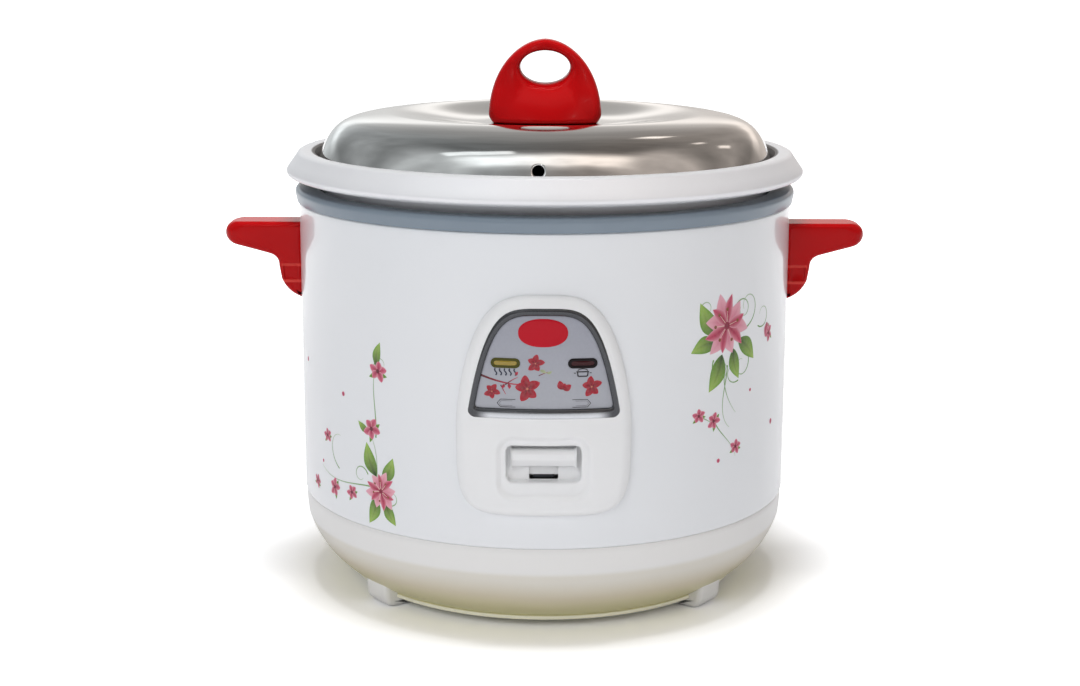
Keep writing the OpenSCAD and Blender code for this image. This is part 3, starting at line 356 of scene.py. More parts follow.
class Finish(Nodes):
    # a material round one Principled shader
    def __init__(self, name, **constants):
        self.material = bpy.data.materials.new(name)
        self.material.use_nodes = True
        super().__init__(self.material.node_tree)
        self.shader = self.tree.nodes["Principled BSDF"]
        self.show(**constants)

    def show(self, **inputs):
        # inputs of the shader, in camelCase: baseColor is Base Color
        names = {"baseColor": "Base Color", "roughness": "Roughness", "metallic": "Metallic", "coat": "Coat Weight",
                 "coatRoughness": "Coat Roughness", "normal": "Normal", "specular": "Specular IOR Level"}
        self.feed(self.shader, {names[key]: value for key, value in inputs.items()})

    def bump(self, height, distance, strength=1.0):
        # a bump of the given height in millimetres
        self.show(normal=self.node("ShaderNodeBump", inputs={"Height": height, "Distance": distance * mm,
                                                             "Strength": strength}))


def ink(red, green, blue):
    # a screen colour, 0 to 255, as the linear colour that the shader takes
    c = np.array([red, green, blue]) / 255
    return tuple(np.where(c <= 0.04045, c / 12.92, ((c + 0.055) / 1.055) ** 2.4)) + (1.0,)


# enamel and smooth plastic: light, dark, their patches, roughness, coat, the coat's roughness, then the grain and its
# bump in millimetres and strength; patches and grain are the scale and detail of a noise
smooth = {
    "shellPaint": ((240, 241, 243), (234, 237, 240), (9.0, 2.0), 0.3, 0.6, 0.06, (900.0, 2.0), (0.006, 0.25)),
    "ringGrey": ((133, 146, 158), (122, 136, 149), (30.0, 3.0), 0.34, 0.2, 0.15, (1500.0, 3.0), (0.01, 0.3)),
    "panelPlastic": ((243, 243, 243), (239, 240, 241), (20.0, 3.0), 0.33, 0.25, 0.12, (1300.0, 3.0), (0.008, 0.25)),
    "footPlastic": ((254, 253, 249), (238, 237, 235), (30.0, 3.0), 0.36, 0.15, 0.2, (1400.0, 3.0), (0.01, 0.3)),
}


def smoothFinish(name):
    # a colour that wanders between two near ones, and a fine grain
    light, dark, patches, roughness, coat, coatRoughness, grain, bump = smooth[name]
    f = Finish(name, roughness=roughness, coat=coat, coatRoughness=coatRoughness)
    f.show(baseColor=f.mix(f.noise(*patches), ink(*light), ink(*dark)))
    f.bump(f.noise(*grain), *bump)
    return f


def baseFinish():
    # moulded plastic with fine grain: white in the upright band; down the slope a painted reflection and painted shade,
    # a pale olive that deepens towards the rim, and on the lip a painted highlight in cream;
    # bend and lip are the heights between which the colour changes, over the kink and over the rim
    # high, mid and low are painted reflection and shade on the slope, rim is the painted highlight of the lip
    look = {"top": ink(238, 237, 235), "high": ink(228, 224, 214), "mid": ink(218, 208, 184), "low": ink(214, 207, 150),
            "rim": ink(250, 247, 224), "bend": (-2.2, 1.0), "lip": (2.6, 2.0)}
    f = Finish("basePlastic", roughness=0.36, coat=0.15, coatRoughness=0.2)
    z, rim, kink = f.axis("Z"), body["rim"], body["kink"]
    cloudy = z + (f.noise(14.0, 2.0) - 0.5) * 4.0
    # painted reflection and shade: olive low on the slope, paler towards the kink
    slope = f.ramp(f.between(cloudy, rim, kink + 2), (0.0, look["low"]), (0.5, look["mid"]), (0.9, look["high"]))
    side = f.mix(f.between(z, *(kink + d for d in look["bend"])), slope, look["top"])
    # painted highlight: the cream lip at the rim
    f.show(baseColor=f.mix(f.between(z, *(rim + d for d in look["lip"])), side, look["rim"]))
    f.bump(f.noise(1400.0), 0.01, 0.3)
    return f


def redFinish():
    # gloss red plastic, darker in cloudy patches, with faint flow marks and two painted highlights: paler bands across
    # each handle's web
    look = {"a": ink(196, 8, 12), "b": ink(172, 4, 8), "paintedHighlight": ink(236, 84, 74), "highlightDrops": (22.9, 31.6),
            "web": (11, 9)}
    f = Finish("redPlastic", roughness=0.25, coat=0.06, coatRoughness=0.04, specular=0.1)
    z, top = f.axis("Z"), span("handle_right")[1][2]
    web = f.between(abs(f.axis("X")), *(body["r"] + d for d in look["web"]))
    # painted highlights: two paler bands across the web, along the edges of its pocket
    upper, lower = (f.between(abs(z - (top - drop)), 1.1, 0.4) for drop in look["highlightDrops"])
    f.show(baseColor=f.mix(web * (upper + lower) * 0.6, f.mix(f.noise(28.0), look["a"], look["b"]), look["paintedHighlight"]))
    f.bump(f.noise(60.0, 2.0), 0.12, 0.12)
    return f


def lidFinish():
    # polished steel with fine lines that run round the axis
    look = {"light": ink(222, 221, 220), "dark": ink(212, 211, 209)}
    f = Finish("lidSteel", metallic=1.0)
    lines = f.node("ShaderNodeCombineXYZ", inputs={0: f.radius() * 3.0, 1: f.axis("Z") * 3.0})
    line, cloud = f.noise(1.0, 4.0, lines), f.noise(35.0)
    f.show(baseColor=f.mix(line * 0.6 + cloud * 0.4, look["light"], look["dark"]),
           roughness=line * 0.06 + cloud * 0.05 + 0.03)
    f.bump(line, 0.001, 0.3)
    return f


def castFinish(name, light, dark, roughness, metallic, grain, height, coat=0.0, **more):
    # any plain moulded, cast or sawn stuff: cloudy colour, uneven roughness and a grain
    f = Finish(name, metallic=metallic, coat=coat, **more)
    grains = f.noise(grain)
    f.show(baseColor=f.mix(f.noise(40.0) * 0.7 + grains * 0.3, ink(*light), ink(*dark)),
           roughness=grains * 0.1 + roughness - 0.05)
    f.bump(grains, height, 0.4)
    return f


def potFinish():
    # satin aluminium, with painted shade in the groove round the lid, dull and dark there; the painted shade fades in
    # and out between its four radii
    look = {"a": ink(240, 240, 242), "b": ink(232, 232, 235), "grooveShade": ink(58, 50, 46),
            "shadeIn": (18.6, 17.6, 13.8, 12.6), "shadeDown": (8.0, 6.0)}
    f = Finish("potAluminium", metallic=0.35)
    grains, radius = f.noise(900.0), f.radius()
    r0, r1, r2, r3 = (body["flangeR"] - d for d in look["shadeIn"])
    # painted shade: a dark band where the groove round the lid lies in shade
    grooveShade = (f.between(radius, r0, r1) * f.between(radius, r3, r2)
              * f.between(f.axis("Z"), *(body["potTop"] - d for d in look["shadeDown"])))
    metal = f.mix(f.noise(40.0) * 0.7 + grains * 0.3, look["a"], look["b"])
    f.show(baseColor=f.mix(grooveShade * 0.9, metal, look["grooveShade"]), roughness=grains * 0.1 + 0.4)
    f.bump(grains, 0.01, 0.4)
    return f


def printFinish():
    # ink on the enamel: its colour is the piece's own tint
    f = Finish("flowerInk", roughness=0.42, coat=0.03, coatRoughness=0.06, specular=0.08)
    colour = f.node("ShaderNodeVertexColor", {"layer_name": "tint"})
    f.show(baseColor=f.mix(f.noise(700.0, 2.0) * 0.25, colour, f.mix(0.5, colour, ink(240, 236, 236))))
    return f


def labelFinish():
    # printed film: grey-lilac that gets lighter downwards, with a faint metallic fleck
    look = {"top": ink(152, 154, 166), "low": ink(168, 170, 178), "fleck": ink(200, 202, 210)}
    f = Finish("labelPrint", roughness=0.32, coat=0.2, coatRoughness=0.08)
    low, high = (corner[2] for corner in span("label_plate"))
    colour = f.mix(f.between(f.axis("Z"), low, high), look["low"], look["top"])
    f.show(baseColor=f.mix(f.noise(900.0, 2.0) * 0.2, colour, look["fleck"]))
    return f


def bezelFinish():
    # satin dark grey with a metallic fleck, and a painted highlight: a light band along the middle of its foot
    look = {"a": ink(78, 79, 82), "b": ink(58, 59, 63), "paintedSheen": ink(206, 208, 212), "paintedSheenX": (33, 25),
            "paintedSheenZ": (4.2, 1.4)}
    f = Finish("bezelGrey", roughness=0.26, metallic=0.75, coat=0.3, coatRoughness=0.1)
    low = span("panel_bezel")[0][2]
    # painted highlight along the middle of the foot
    paintedSheen = f.between(abs(f.axis("X")), *look["paintedSheenX"]) * f.between(f.axis("Z"), *(low + d for d in look["paintedSheenZ"]))
    f.show(baseColor=f.mix(paintedSheen, f.mix(f.noise(1200.0, 2.0), look["a"], look["b"]), look["paintedSheen"]))
    return f


shellPaint, ringGrey, panelPlastic, footPlastic = (smoothFinish(name) for name in smooth)
basePlastic, redPlastic, lidSteel, potAluminium = baseFinish(), redFinish(), lidFinish(), potFinish()
flowerInk, labelPrint, bezelGrey = printFinish(), labelFinish(), bezelFinish()
lensAmber = castFinish("lensAmber", (164, 140, 34), (142, 116, 22), 0.16, 0.0, 300.0, 0.01, 0.3)
lensRed = castFinish("lensRed", (66, 10, 18), (44, 4, 10), 0.14, 0.0, 300.0, 0.01, 0.2, specular=0.15)
oliveInk = castFinish("oliveInk", (86, 84, 34), (70, 68, 28), 0.3, 0.0, 900.0, 0.01, specular=0.15)
blackInk = castFinish("blackInk", (26, 18, 20), (18, 14, 16), 0.3, 0.0, 900.0, 0.01, specular=0.15)
badgeRed = castFinish("badgeRed", (198, 12, 36), (184, 8, 30), 0.3, 0.0, 700.0, 0.01, 0.1, specular=0.15)
print("finishes made")

# the CAD nodes that stay: light, dark, roughness, metallic, grain per metre and its height in millimetres
plain = {
    "screw_steel": ((190, 192, 195), (168, 170, 174), 0.3, 1.0, 900.0, 0.01),
    "liner_steel": ((176, 180, 182), (158, 162, 165), 0.34, 1.0, 250.0, 0.02),
    "cast_aluminium": ((196, 197, 198), (176, 178, 180), 0.5, 1.0, 700.0, 0.05),
    "element_steel": ((120, 116, 112), (98, 94, 92), 0.4, 1.0, 600.0, 0.02),
    "ceramic_white": ((232, 230, 222), (216, 213, 204), 0.5, 0.0, 800.0, 0.02),
    "ferrite": ((62, 62, 66), (48, 48, 52), 0.55, 0.3, 900.0, 0.02),
    "magnet_metal": ((150, 152, 156), (132, 134, 138), 0.25, 1.0, 900.0, 0.01),
    # dark steel as of the switch link; its darkness also stands in for the shade seen through the slot below the button
    "dark_steel": ((72, 74, 78), (58, 60, 64), 0.4, 0.9, 700.0, 0.015),
    "switch_black": ((30, 30, 32), (24, 24, 26), 0.4, 0.0, 1200.0, 0.03),
    "plunger_red": ((176, 30, 30), (160, 24, 24), 0.4, 0.0, 900.0, 0.01),
    "fuse_tan": ((196, 178, 142), (184, 164, 128), 0.55, 0.0, 900.0, 0.02),
    "bezel_grey": ((84, 85, 88), (64, 65, 69), 0.3, 0.5, 900.0, 0.01),
    "lamp_glass": ((240, 190, 140), (230, 170, 120), 0.1, 0.0, 300.0, 0.005),
    "switch_white": ((238, 238, 236), (230, 230, 228), 0.4, 0.0, 1200.0, 0.02),
    "pin_metal": ((205, 196, 170), (188, 178, 150), 0.25, 1.0, 900.0, 0.01),
    "pot_aluminium": ((222, 222, 225), (212, 212, 216), 0.42, 0.55, 900.0, 0.01),
    "washer_rubber": ((44, 44, 46), (34, 34, 36), 0.7, 0.0, 900.0, 0.03),
    "wire_brown": ((110, 62, 34), (96, 52, 28), 0.45, 0.0, 500.0, 0.02),
    "wire_red": ((186, 34, 30), (166, 26, 24), 0.45, 0.0, 500.0, 0.02),
    "wire_blue": ((40, 84, 160), (32, 70, 140), 0.45, 0.0, 500.0, 0.02),
    "wire_green": ((70, 140, 50), (56, 120, 40), 0.45, 0.0, 500.0, 0.02),
    "wire_white": ((232, 232, 228), (220, 220, 216), 0.45, 0.0, 500.0, 0.02),
    "base_plastic": ((236, 235, 230), (228, 226, 220), 0.4, 0.0, 1400.0, 0.02),
}
made = {}
for name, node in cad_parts.items():
    slot = slots[name]
    if slot in plain:
        made[slot] = made.get(slot) or castFinish("cad_" + slot, *plain[slot])
        node.data.materials[0] = made[slot].material
print("frame nodes finished:", len(made), "materials")


# drum, top ring and base

shell = {"wall": 0.8, "corner": 1.5, "topFlange": 8.0, "lowFlange": 3.8,
         "windows": [(20.5, 84.0, 106.4), (28.0, 138.3, 150.3)]}


def buildShell():
    # the outer surface turned about Z, with cells left out behind the panel, then given its wall inwards
    r, low, high, c = body["r"], body["seam"], body["shellTop"], shell["corner"]
    path = np.concatenate([[[r - shell["lowFlange"], low]], arcPoints((r - c, low + c), c, -90, 0, 6)])
    rows = np.concatenate([np.linspace(low + c, high - c, 60)[1:-1], [z for w in shell["windows"] for z in w[1:]]])
    path = np.concatenate([path, [[r, z] for z in np.sort(rows)], arcPoints((r - c, high - c), c, 0, 90, 6),
                           [[r - shell["topFlange"], high]]])
    edges = np.concatenate([[-np.arcsin(w[0] / r), np.arcsin(w[0] / r)] for w in shell["windows"]])
    a = np.unique(np.concatenate([np.linspace(-np.pi, np.pi, 289)[:-1], edges]))
    points, faces = turned(path, a), cells(len(a), len(path), True)
    middle = points.reshape(-1, 3)[faces].mean(1)
    keep = np.ones(len(faces), bool)
    for half, below, above in shell["windows"]:
        keep &= ~((np.abs(middle[:, 0]) < half) & (middle[:, 1] < 0) & (middle[:, 2] > below) & (middle[:, 2] < above))
    piece = makePiece("drumShell", points, faces[keep], shellPaint, "housing", solid=False)
    thicken(piece, shell["wall"], True)
    return stand(piece, "outer_shell")


ring = {"inner": 16.6, "step": 127.9}


def buildRing():
    # the section has a foot stepped over the shell's flange, and both upper edges rounded
    low, top, bead = body["shellTop"], body["ringTop"], body["ringR"]
    inner, step = body["flangeR"] - ring["inner"], ring["step"]
    profile = np.concatenate([
        roundPath([(inner, low + 0.6, 0.3), (step, low + 0.6, 0), (step, low, 0), (bead - 0.8, low, 0.4)], 3),
        [[bead, low + 4.2]], arcPoints((bead - 2.4, top - 2.4), 2.4, 20, 90, 8),
        arcPoints((inner + 2, top - 2), 2, 90, 180, 8)])
    return stand(lathe("topRing", profile, ringGrey, "housing"), "top_ring")


base = {"wall": 2.5, "floor": 3.7, "hole": 80.0, "lipIn": 90.3, "rimIn": 26.0, "bulge": 3.7,
        "footAngles": (51, 129, 231, 309), "footWidth": 19.0, "footEdge": 3.0, "bossHalf": (27.0, 14.0),
        "socketHalf": (14.4, 10.6)}


def buildBase():
    # the wall: an upright band, a kink, then a bowed slope down to a rolled lip; its inside runs beside it
    r, seam, rim = body["r"], body["seam"], body["rim"]
    rr, floor, hole, lip = r - base["rimIn"], rim + base["floor"], base["hole"], base["lipIn"]
    slope = swell((rr + 0.8, rim + 2.4), (r - 1.3, body["kink"]), base["bulge"], 24)
    band = [[r - 0.75, seam - 8], [r - 0.55, seam - 3], [r - 0.6, seam - 0.5], [r - 0.9, seam], [r - 3, seam]]
    inside = beside(np.concatenate([slope, [[r - 0.5, seam]]]), base["wall"])
    inside = inside[inside[:, 1] > floor][::-1]
    tub = lathe("baseTub", np.concatenate([
        roundPath([(lip, rim, 0), (rr + 0.9, rim, 0.5), (rr + 1.5, rim + 0.6, 0.4), (rr + 1.5, rim + 2, 0.3)], 3),
        slope, band, inside, [[hole, floor], [hole, rim + 1.2], [lip, rim + 1.2]]]), basePlastic, "housing")
    outline = np.concatenate([
        roundPath([(rr - 8, rim + 12, 0), (rr - 8, 0, 0.8), (rr - 6, 0, 0)], 4),
        arcPoints((rr + 1, 7), 7, -90, -8, 9), [[rr + 8.4, rim + 8], [rr + 9, rim + 12]]])
    half = base["footWidth"] / 2
    for k, angle in enumerate(np.radians(base["footAngles"])):
        c, s = np.cos(angle), np.sin(angle)

        def place(p, c=c, s=s):
            return np.stack([p[:, 0] * s + p[:, 2] * c, -p[:, 0] * c + p[:, 2] * s, p[:, 1]], 1)
        foot = slab("foot%d" % k, outline, edgeLevels(-half, half, base["footEdge"], 6), place, footPlastic, "housing")
    low, high = span("inlet_housing")
    (w, h), (w2, h2), back = base["bossHalf"], base["socketHalf"], facing(-1, 1, (low[2] + high[2]) / 2)
    boss = slab("inletBoss", boxOutline(w, -h, h, 3, 5), [(0, 104.0), (0, r + 2.2), (0.25, r + 2.8), (0.8, r + 3)],
                back, basePlastic, "housing")
    carve(boss, slab("cutter", boxOutline(w2, -h2, h2, 1, 3), [(0, 100.0), (0, r + 9)], back, basePlastic, "housing"))
    return stand(tub, "base")


buildShell()
buildRing()
buildBase()
print("drum, ring and base built")


# pot and lid

def potPath():
    # the pot's inner surface from its centre up the wall, over the ledge and round the flange
    top, r = body["potTop"], body["flangeR"]
    floor, wall = span("inner_pot")[0][2] + 1.5, 116.5
    return np.concatenate([
        [[0, floor]], arcPoints((wall - 12, floor + 12), 12, -90, 0, 12), [[wall, top - 6.6], [wall + 1.6, top - 5]],
        [[120.6, top - 5], [121.6, top - 1], [123, top - 0.4], [124.6, top]],
        arcPoints((r - 8.4, top - 3.2), 3.2, 80, 25, 8), arcPoints((r - 2.4, body["flangeZ"] + 3.4), 2.4, 20, -65, 8),
        [[r - 5, body["flangeZ"]]]])


def buildPot():
    # out along the inner surface to the lip's edge, and back beside it on the outer one
    path = evenly(potPath(), 6.0)
    profile = np.concatenate([path, beside(path, -1.5)[::-1]])
    profile[[0, -1], 0] = 0
    return stand(lathe("pot", profile, potAluminium, "pot", closed=False), "inner_pot")


lid = {"floorR": 30.0, "crestR": 84.0, "dish": 5.6, "domeR": 118.8, "power": 18.0, "low": 20.2, "above": 1.3,
       "fall": 4.0, "seatR": 120.0, "ventIn": 1.5, "ventR": 3.0, "ventTurn": -1.5, "cell": 0.75, "wall": 0.8}


def lidPath():
    # z = crest - dish (1 - S) - rise (r / R)^power - fall u^1.3: S goes from 0 to 1 between the flat floor and the
    # crest, and u from 0 at the crest to 1 at the edge R
    rr, low, floor, crest = lid["domeR"], body["lidTop"] - lid["low"], lid["floorR"], lid["crestR"]
    r = np.concatenate([np.linspace(0, 100, 80), rr - 0.2 - (rr - 100.2) * (1 - np.linspace(0, 1, 60)[1:]) ** 1.8])
    top = body["lidTop"] + lid["above"]
    u = np.clip((r - crest + 4) / (rr - crest + 4), 0, 1)
    z = (top - lid["dish"] * (1 - smoothStep((r - floor) / (crest - floor)))
         - (top - lid["fall"] - low) * (r / rr) ** lid["power"] - lid["fall"] * u ** 1.3)
    return np.concatenate([np.stack([r, z], 1), [[rr + 0.3, low - 1.2], [lid["seatR"], low - 1.8]]])


def buildLid():
    # the path turned about Z; near the vent a square block of cells is drawn in to a circle and its middle left out
    path = evenly(lidPath(), 2.0)
    s, ventAt, cell, rv = lengths(path), lid["domeR"] - lid["ventIn"], lid["cell"], lid["ventR"]
    ventRow, near = np.interp(ventAt, path[:, 0], s), np.arange(-8, 9) * cell
    ventNear = near[near + ventRow < s[-1] - 1.0]
    rows = np.unique(np.concatenate([s[(s < ventRow - 8 * cell - 0.2) | (s > ventRow + ventNear[-1] + 0.3)],
                                     ventRow + ventNear]))
    cols = np.concatenate([near / ventAt, np.linspace(near[-1] / ventAt, tau - near[-1] / ventAt, 281)[1:-1]])
    a, q = np.meshgrid(cols, rows, indexing="ij")
    u, v = np.where(a > np.pi, a - tau, a) * ventAt, q - ventRow
    square = np.maximum(np.abs(u), np.abs(v))
    blend = np.clip((2 * rv - square) / rv, 0, 1) * (square > 0)
    pull = 1 + blend * (square / np.maximum(np.hypot(u, v), 1e-9) - 1)
    u2, v2 = u * pull, v * pull
    a, q = np.where(square < 2 * rv, u2 / ventAt, a), np.where(square < 2 * rv, v2 + ventRow, q)
    r, z = np.interp(q, s, path[:, 0]), np.interp(q, s, path[:, 1])
    a = a + np.radians(lid["ventTurn"])
    points = np.stack([r * np.sin(a), -r * np.cos(a), z], -1)
    faces = cells(len(cols), len(rows), True)
    inside = square.reshape(-1)[faces].max(1) < rv + 1e-6
    piece = makePiece("lidSheet", points, faces[~inside][:, ::-1], lidSteel, "lid", solid=False, sharp=60)
    thicken(piece, lid["wall"])
    return stand(piece, "lid")


knob = {"sink": 1.8, "holeHalf": (13.0, 8.5), "holeDrop": 14.5, "round": 0.5, "foot": 0.12, "oval": 0.86}


def curveThrough(points, n):
    # n points of a Catmull-Rom curve through the given ones
    p = np.array(points, float)
    p = np.concatenate([[2 * p[0] - p[1]], p, [2 * p[-1] - p[-2]]])
    t = np.linspace(0, len(p) - 3 - 1e-9, n)
    k, f = t.astype(int), (t % 1)[:, None]
    a, b, c, d = p[k], p[k + 1], p[k + 2], p[k + 3]
    return 0.5 * (2 * b + (c - a) * f + (2 * a - 5 * b + 4 * c - d) * f ** 2 + (3 * b - a - 3 * c + d) * f ** 3)


def buildKnob():
    # round the finger hole, a rounded section reaches from the hole to the outline; its half depth is the flank's
    # at that height, drawn in towards the sides as an oval plan is
    low, high = span("knob")
    low[2] -= knob["sink"]
    half, tall, deep = high[0], high[2] - low[2], high[1]
    t = np.sin(np.linspace(0, np.pi / 2, 80))
    wide, up = half * (1 - t ** 2.05) ** 0.54, 3.6 + t * (tall - 3.6)
    foot = roundPath([(0, 0, 0), (half - 2.2, 0, 1.4), (half, 3.5, 2.5), (half, 3.6, 0)], 6)
    side = np.concatenate([foot, np.stack([wide, up], 1)])
    outline = np.concatenate([side, side[::-1] * [-1, 1]])
    centre = np.array([0, tall - knob["holeDrop"]])
    n, m = 200, 56
    angle = tau * np.arange(n) / n - np.pi / 2
    ways = np.stack([np.cos(angle), np.sin(angle)], 1)
    edge = onRays(outline, centre, centre + ways)
    hole = centre + ways / np.linalg.norm(ways / knob["holeHalf"], axis=1)[:, None]
    flank = curveThrough([(-1, deep - 1.2), (1.6, deep), (5, deep - 0.9), (11, deep - 4.5), (18, deep - 8.4),
                          (27, deep - 10.8), (36.7, deep - 11.6), (tall, deep - 12.6)], 80)
    psi = tau * (np.arange(m) + 0.5) / m
    c, d = np.cos(psi), np.sin(psi)
    lowness = smoothStep((-np.sin(angle) - 0.3) / 0.4)[:, None]
    power = knob["round"] + (knob["foot"] - knob["round"]) * lowness * (c > 0)
    w = 0.5 + 0.5 * np.sign(c) * np.abs(c) ** power
    y = np.sign(d) * np.abs(d) ** (knob["round"] + (0.22 - knob["round"]) * lowness * (c > 0))
    flat = hole[:, None] + (edge - hole)[:, None] * w[..., None]
    across = np.interp(flat[..., 1], up, wide)
    oval = np.sqrt(1 - knob["oval"] * np.clip(np.abs(flat[..., 0]) / np.maximum(across, 1), 0, 1) ** 2.2)
    depth = np.interp(flat[..., 1], flank[:, 0], flank[:, 1])
    settle = np.clip(1 - flat[..., 1] / 16, 0, 1)
    depth = depth * (oval * settle + (0.55 + 0.45 * oval) * (1 - settle))
    points = np.stack([flat[..., 0], y * depth, flat[..., 1] + low[2]], -1)
    return stand(makePiece("lidKnob", points, cells(n, m, True, True), redPlastic, "lid", sharp=60), "knob")


buildPot()
buildLid()
buildKnob()
print("pot, lid and knob built")


# handles

handle = {"tip": 6.3, "edge": 2.4, "corner": 8.0, "wall": 3.2, "root": 1.2, "drop": 41.0, "near": 16.0,
          "web": ((16.6, 17.0), (11.6, 23.5), (10.4, 30.5), (0.0, 40.4)), "pocket": (1.6, 9.4, 22.4, 31.2, 0.9)}


def buildHandle(name, node):
    # the side view's outline laid across the handle's width; its tip draws back towards the rounded corners
    r, (tip, half, top) = body["r"], span("handle_right")[1]
    c, tr, w = handle["corner"], handle["tip"], handle["wall"]
    root, near = r - handle["root"], r + handle["near"]
    web = [(r + out, top - down) for out, down in handle["web"]]
    outline = np.concatenate([
        [[root, top]], arcPoints((tip - tr, top - tr), tr, 90, -78, 18), swell(web[0], web[1], 1.6, 10),
        swell(web[2], web[3], -1.6, 10)[:-1], [[root, top - handle["drop"]]]])[::-1]
    outline = evenly(np.concatenate([outline, outline[:1]]), 2.0)[:-1]

    def place(p):
        x, z, y = p.T
        back = c - np.sqrt(np.clip(c ** 2 - np.clip(np.abs(y) - (half - c), 0, c) ** 2, 0, None))
        x = np.where(x > near, near + (x - near) * (tip - back - near) / (tip - near), x)
        return np.stack([x, y, z], 1)
    edges = edgeLevels(-half, half, handle["edge"], 7)
    middle = [(0, y) for y in np.linspace(-half + 3, half - 3, 15)]
    piece = slab(name, outline, edges[:8] + middle + edges[8:], place, redPlastic, "housing", sharp=40)
    box = roundPath([(near, -half + w, 2), (tip - w - 1, -half + w, 5), (tip - w - 1, half - w, 5),
                     (near, half - w, 2)], 6, True)
    cutter = slab("cutter", box, [(0, top - 45), (0, top - w - 2), (0.6, top - w - 0.6), (2.0, top - w)],
                  lambda p: p, redPlastic, "housing")
    carve(piece, cutter)
    x0, x1, drop0, drop1, deep = handle["pocket"]
    for face in (-1, 1):
        mouth = roundPath([(r + x0, top - drop1, 1), (r + x1 - 0.8, top - drop1, 1), (r + x1, top - drop0, 1),
                           (r + x0, top - drop0, 1)], 5, True)
        levels = [(0.7, half - deep), (0.15, half - deep + 0.2), (0, half - deep + 0.6), (0, half + 2)]
        carve(piece, slab("cutter", mouth, levels, facing(1, face), redPlastic, "housing"))
    if node == "handle_left":
        piece.data.transform(Matrix.Rotation(np.pi, 4, "Z"))
    piece.data.set_sharp_from_angle(angle=np.radians(32))
    return stand(piece, node)


buildHandle("handleRight", "handle_right")
buildHandle("handleLeft", "handle_left")
print("handles built")


# switch panel

panel = {"half": 42.2, "low": 44.3, "bevel": 5.0, "recess": 1.2, "dish": 1.9, "dishHalf": 23.3, "dishZ": (75.8, 108.2),
         "pocketHalf": 18.0, "pocketZ": (84.7, 102.8), "backY": 127.0, "slotHalf": 7.0, "slotZ": (84.9, 97.6),
         "bezelHalf": 36.4, "bezelWidth": 3.6, "bezelFoot": 4.9}
faceR = -span("front_panel")[0][1]
panelLow, panelHigh = (corner[2] for corner in span("front_panel"))
bezelLow, bezelHigh = (corner[2] for corner in span("panel_bezel"))
crowding = 1 - (1 - np.linspace(0, 1, 160)[1:]) ** 2.6  # steps from 0 to 1 that get finer towards 1


def panelOutline():
    # half width: half (1 - t^4.5)^0.17 down from the widest row, half (1 - t^1.5)^0.28 up from it
    wide = panelLow + panel["low"]
    t = np.sin(np.linspace(np.pi / 2, 0, 120))
    lower = np.stack([panel["half"] * (1 - t ** 4.5) ** 0.17, wide - panel["low"] * t], 1)
    t = crowding
    upper = np.stack([panel["half"] * (1 - t ** 1.5) ** 0.28, wide + (panelHigh - wide) * t], 1)
    return mirrored(np.concatenate([lower, upper]))


def archOutline(half, low, high, corner):
    # a flat foot with rounded corners, then a half width of half (1 - t)^0.24
    foot, t = low + corner, crowding
    return mirrored(np.concatenate([[[0, low]], arcPoints((half - corner, foot), corner, -90, 0, 8),
                                    np.stack([half * (1 - t) ** 0.24, foot + t * (high - foot)], 1)]))


def insideDistance(points, outline):
    # how far each point lies inside a closed outline, negative outside it
    out = []
    a, b = outline, np.roll(outline, -1, 0)
    d = b - a
    length = np.maximum((d * d).sum(1), 1e-12)
    for part in np.array_split(points, max(1, len(points) // 4000)):
        w = part[:, None] - a
        t = np.clip((w * d).sum(2) / length, 0, 1)
        gap = np.linalg.norm(w - t[..., None] * d, axis=2).min(1)
        y0, y1 = a[:, 1], b[:, 1]
        cross = (y0 > part[:, 1:2]) != (y1 > part[:, 1:2])
        x = a[:, 0] + (part[:, 1:2] - y0) / np.where(y1 == y0, 1e-9, y1 - y0) * d[:, 0]
        odd = (cross & (part[:, :1] < x)).sum(1) % 2 == 1
        out.append(np.where(odd, gap, -gap))
    return np.concatenate(out)


def onDrum(flat, r):
    # plan points (x, z) set on a drum of radius r, straight back along Y
    x, z = flat[..., 0], flat[..., 1]
    return np.stack([x, -np.sqrt(np.maximum(r ** 2 - x ** 2, 1.0)), z], -1)


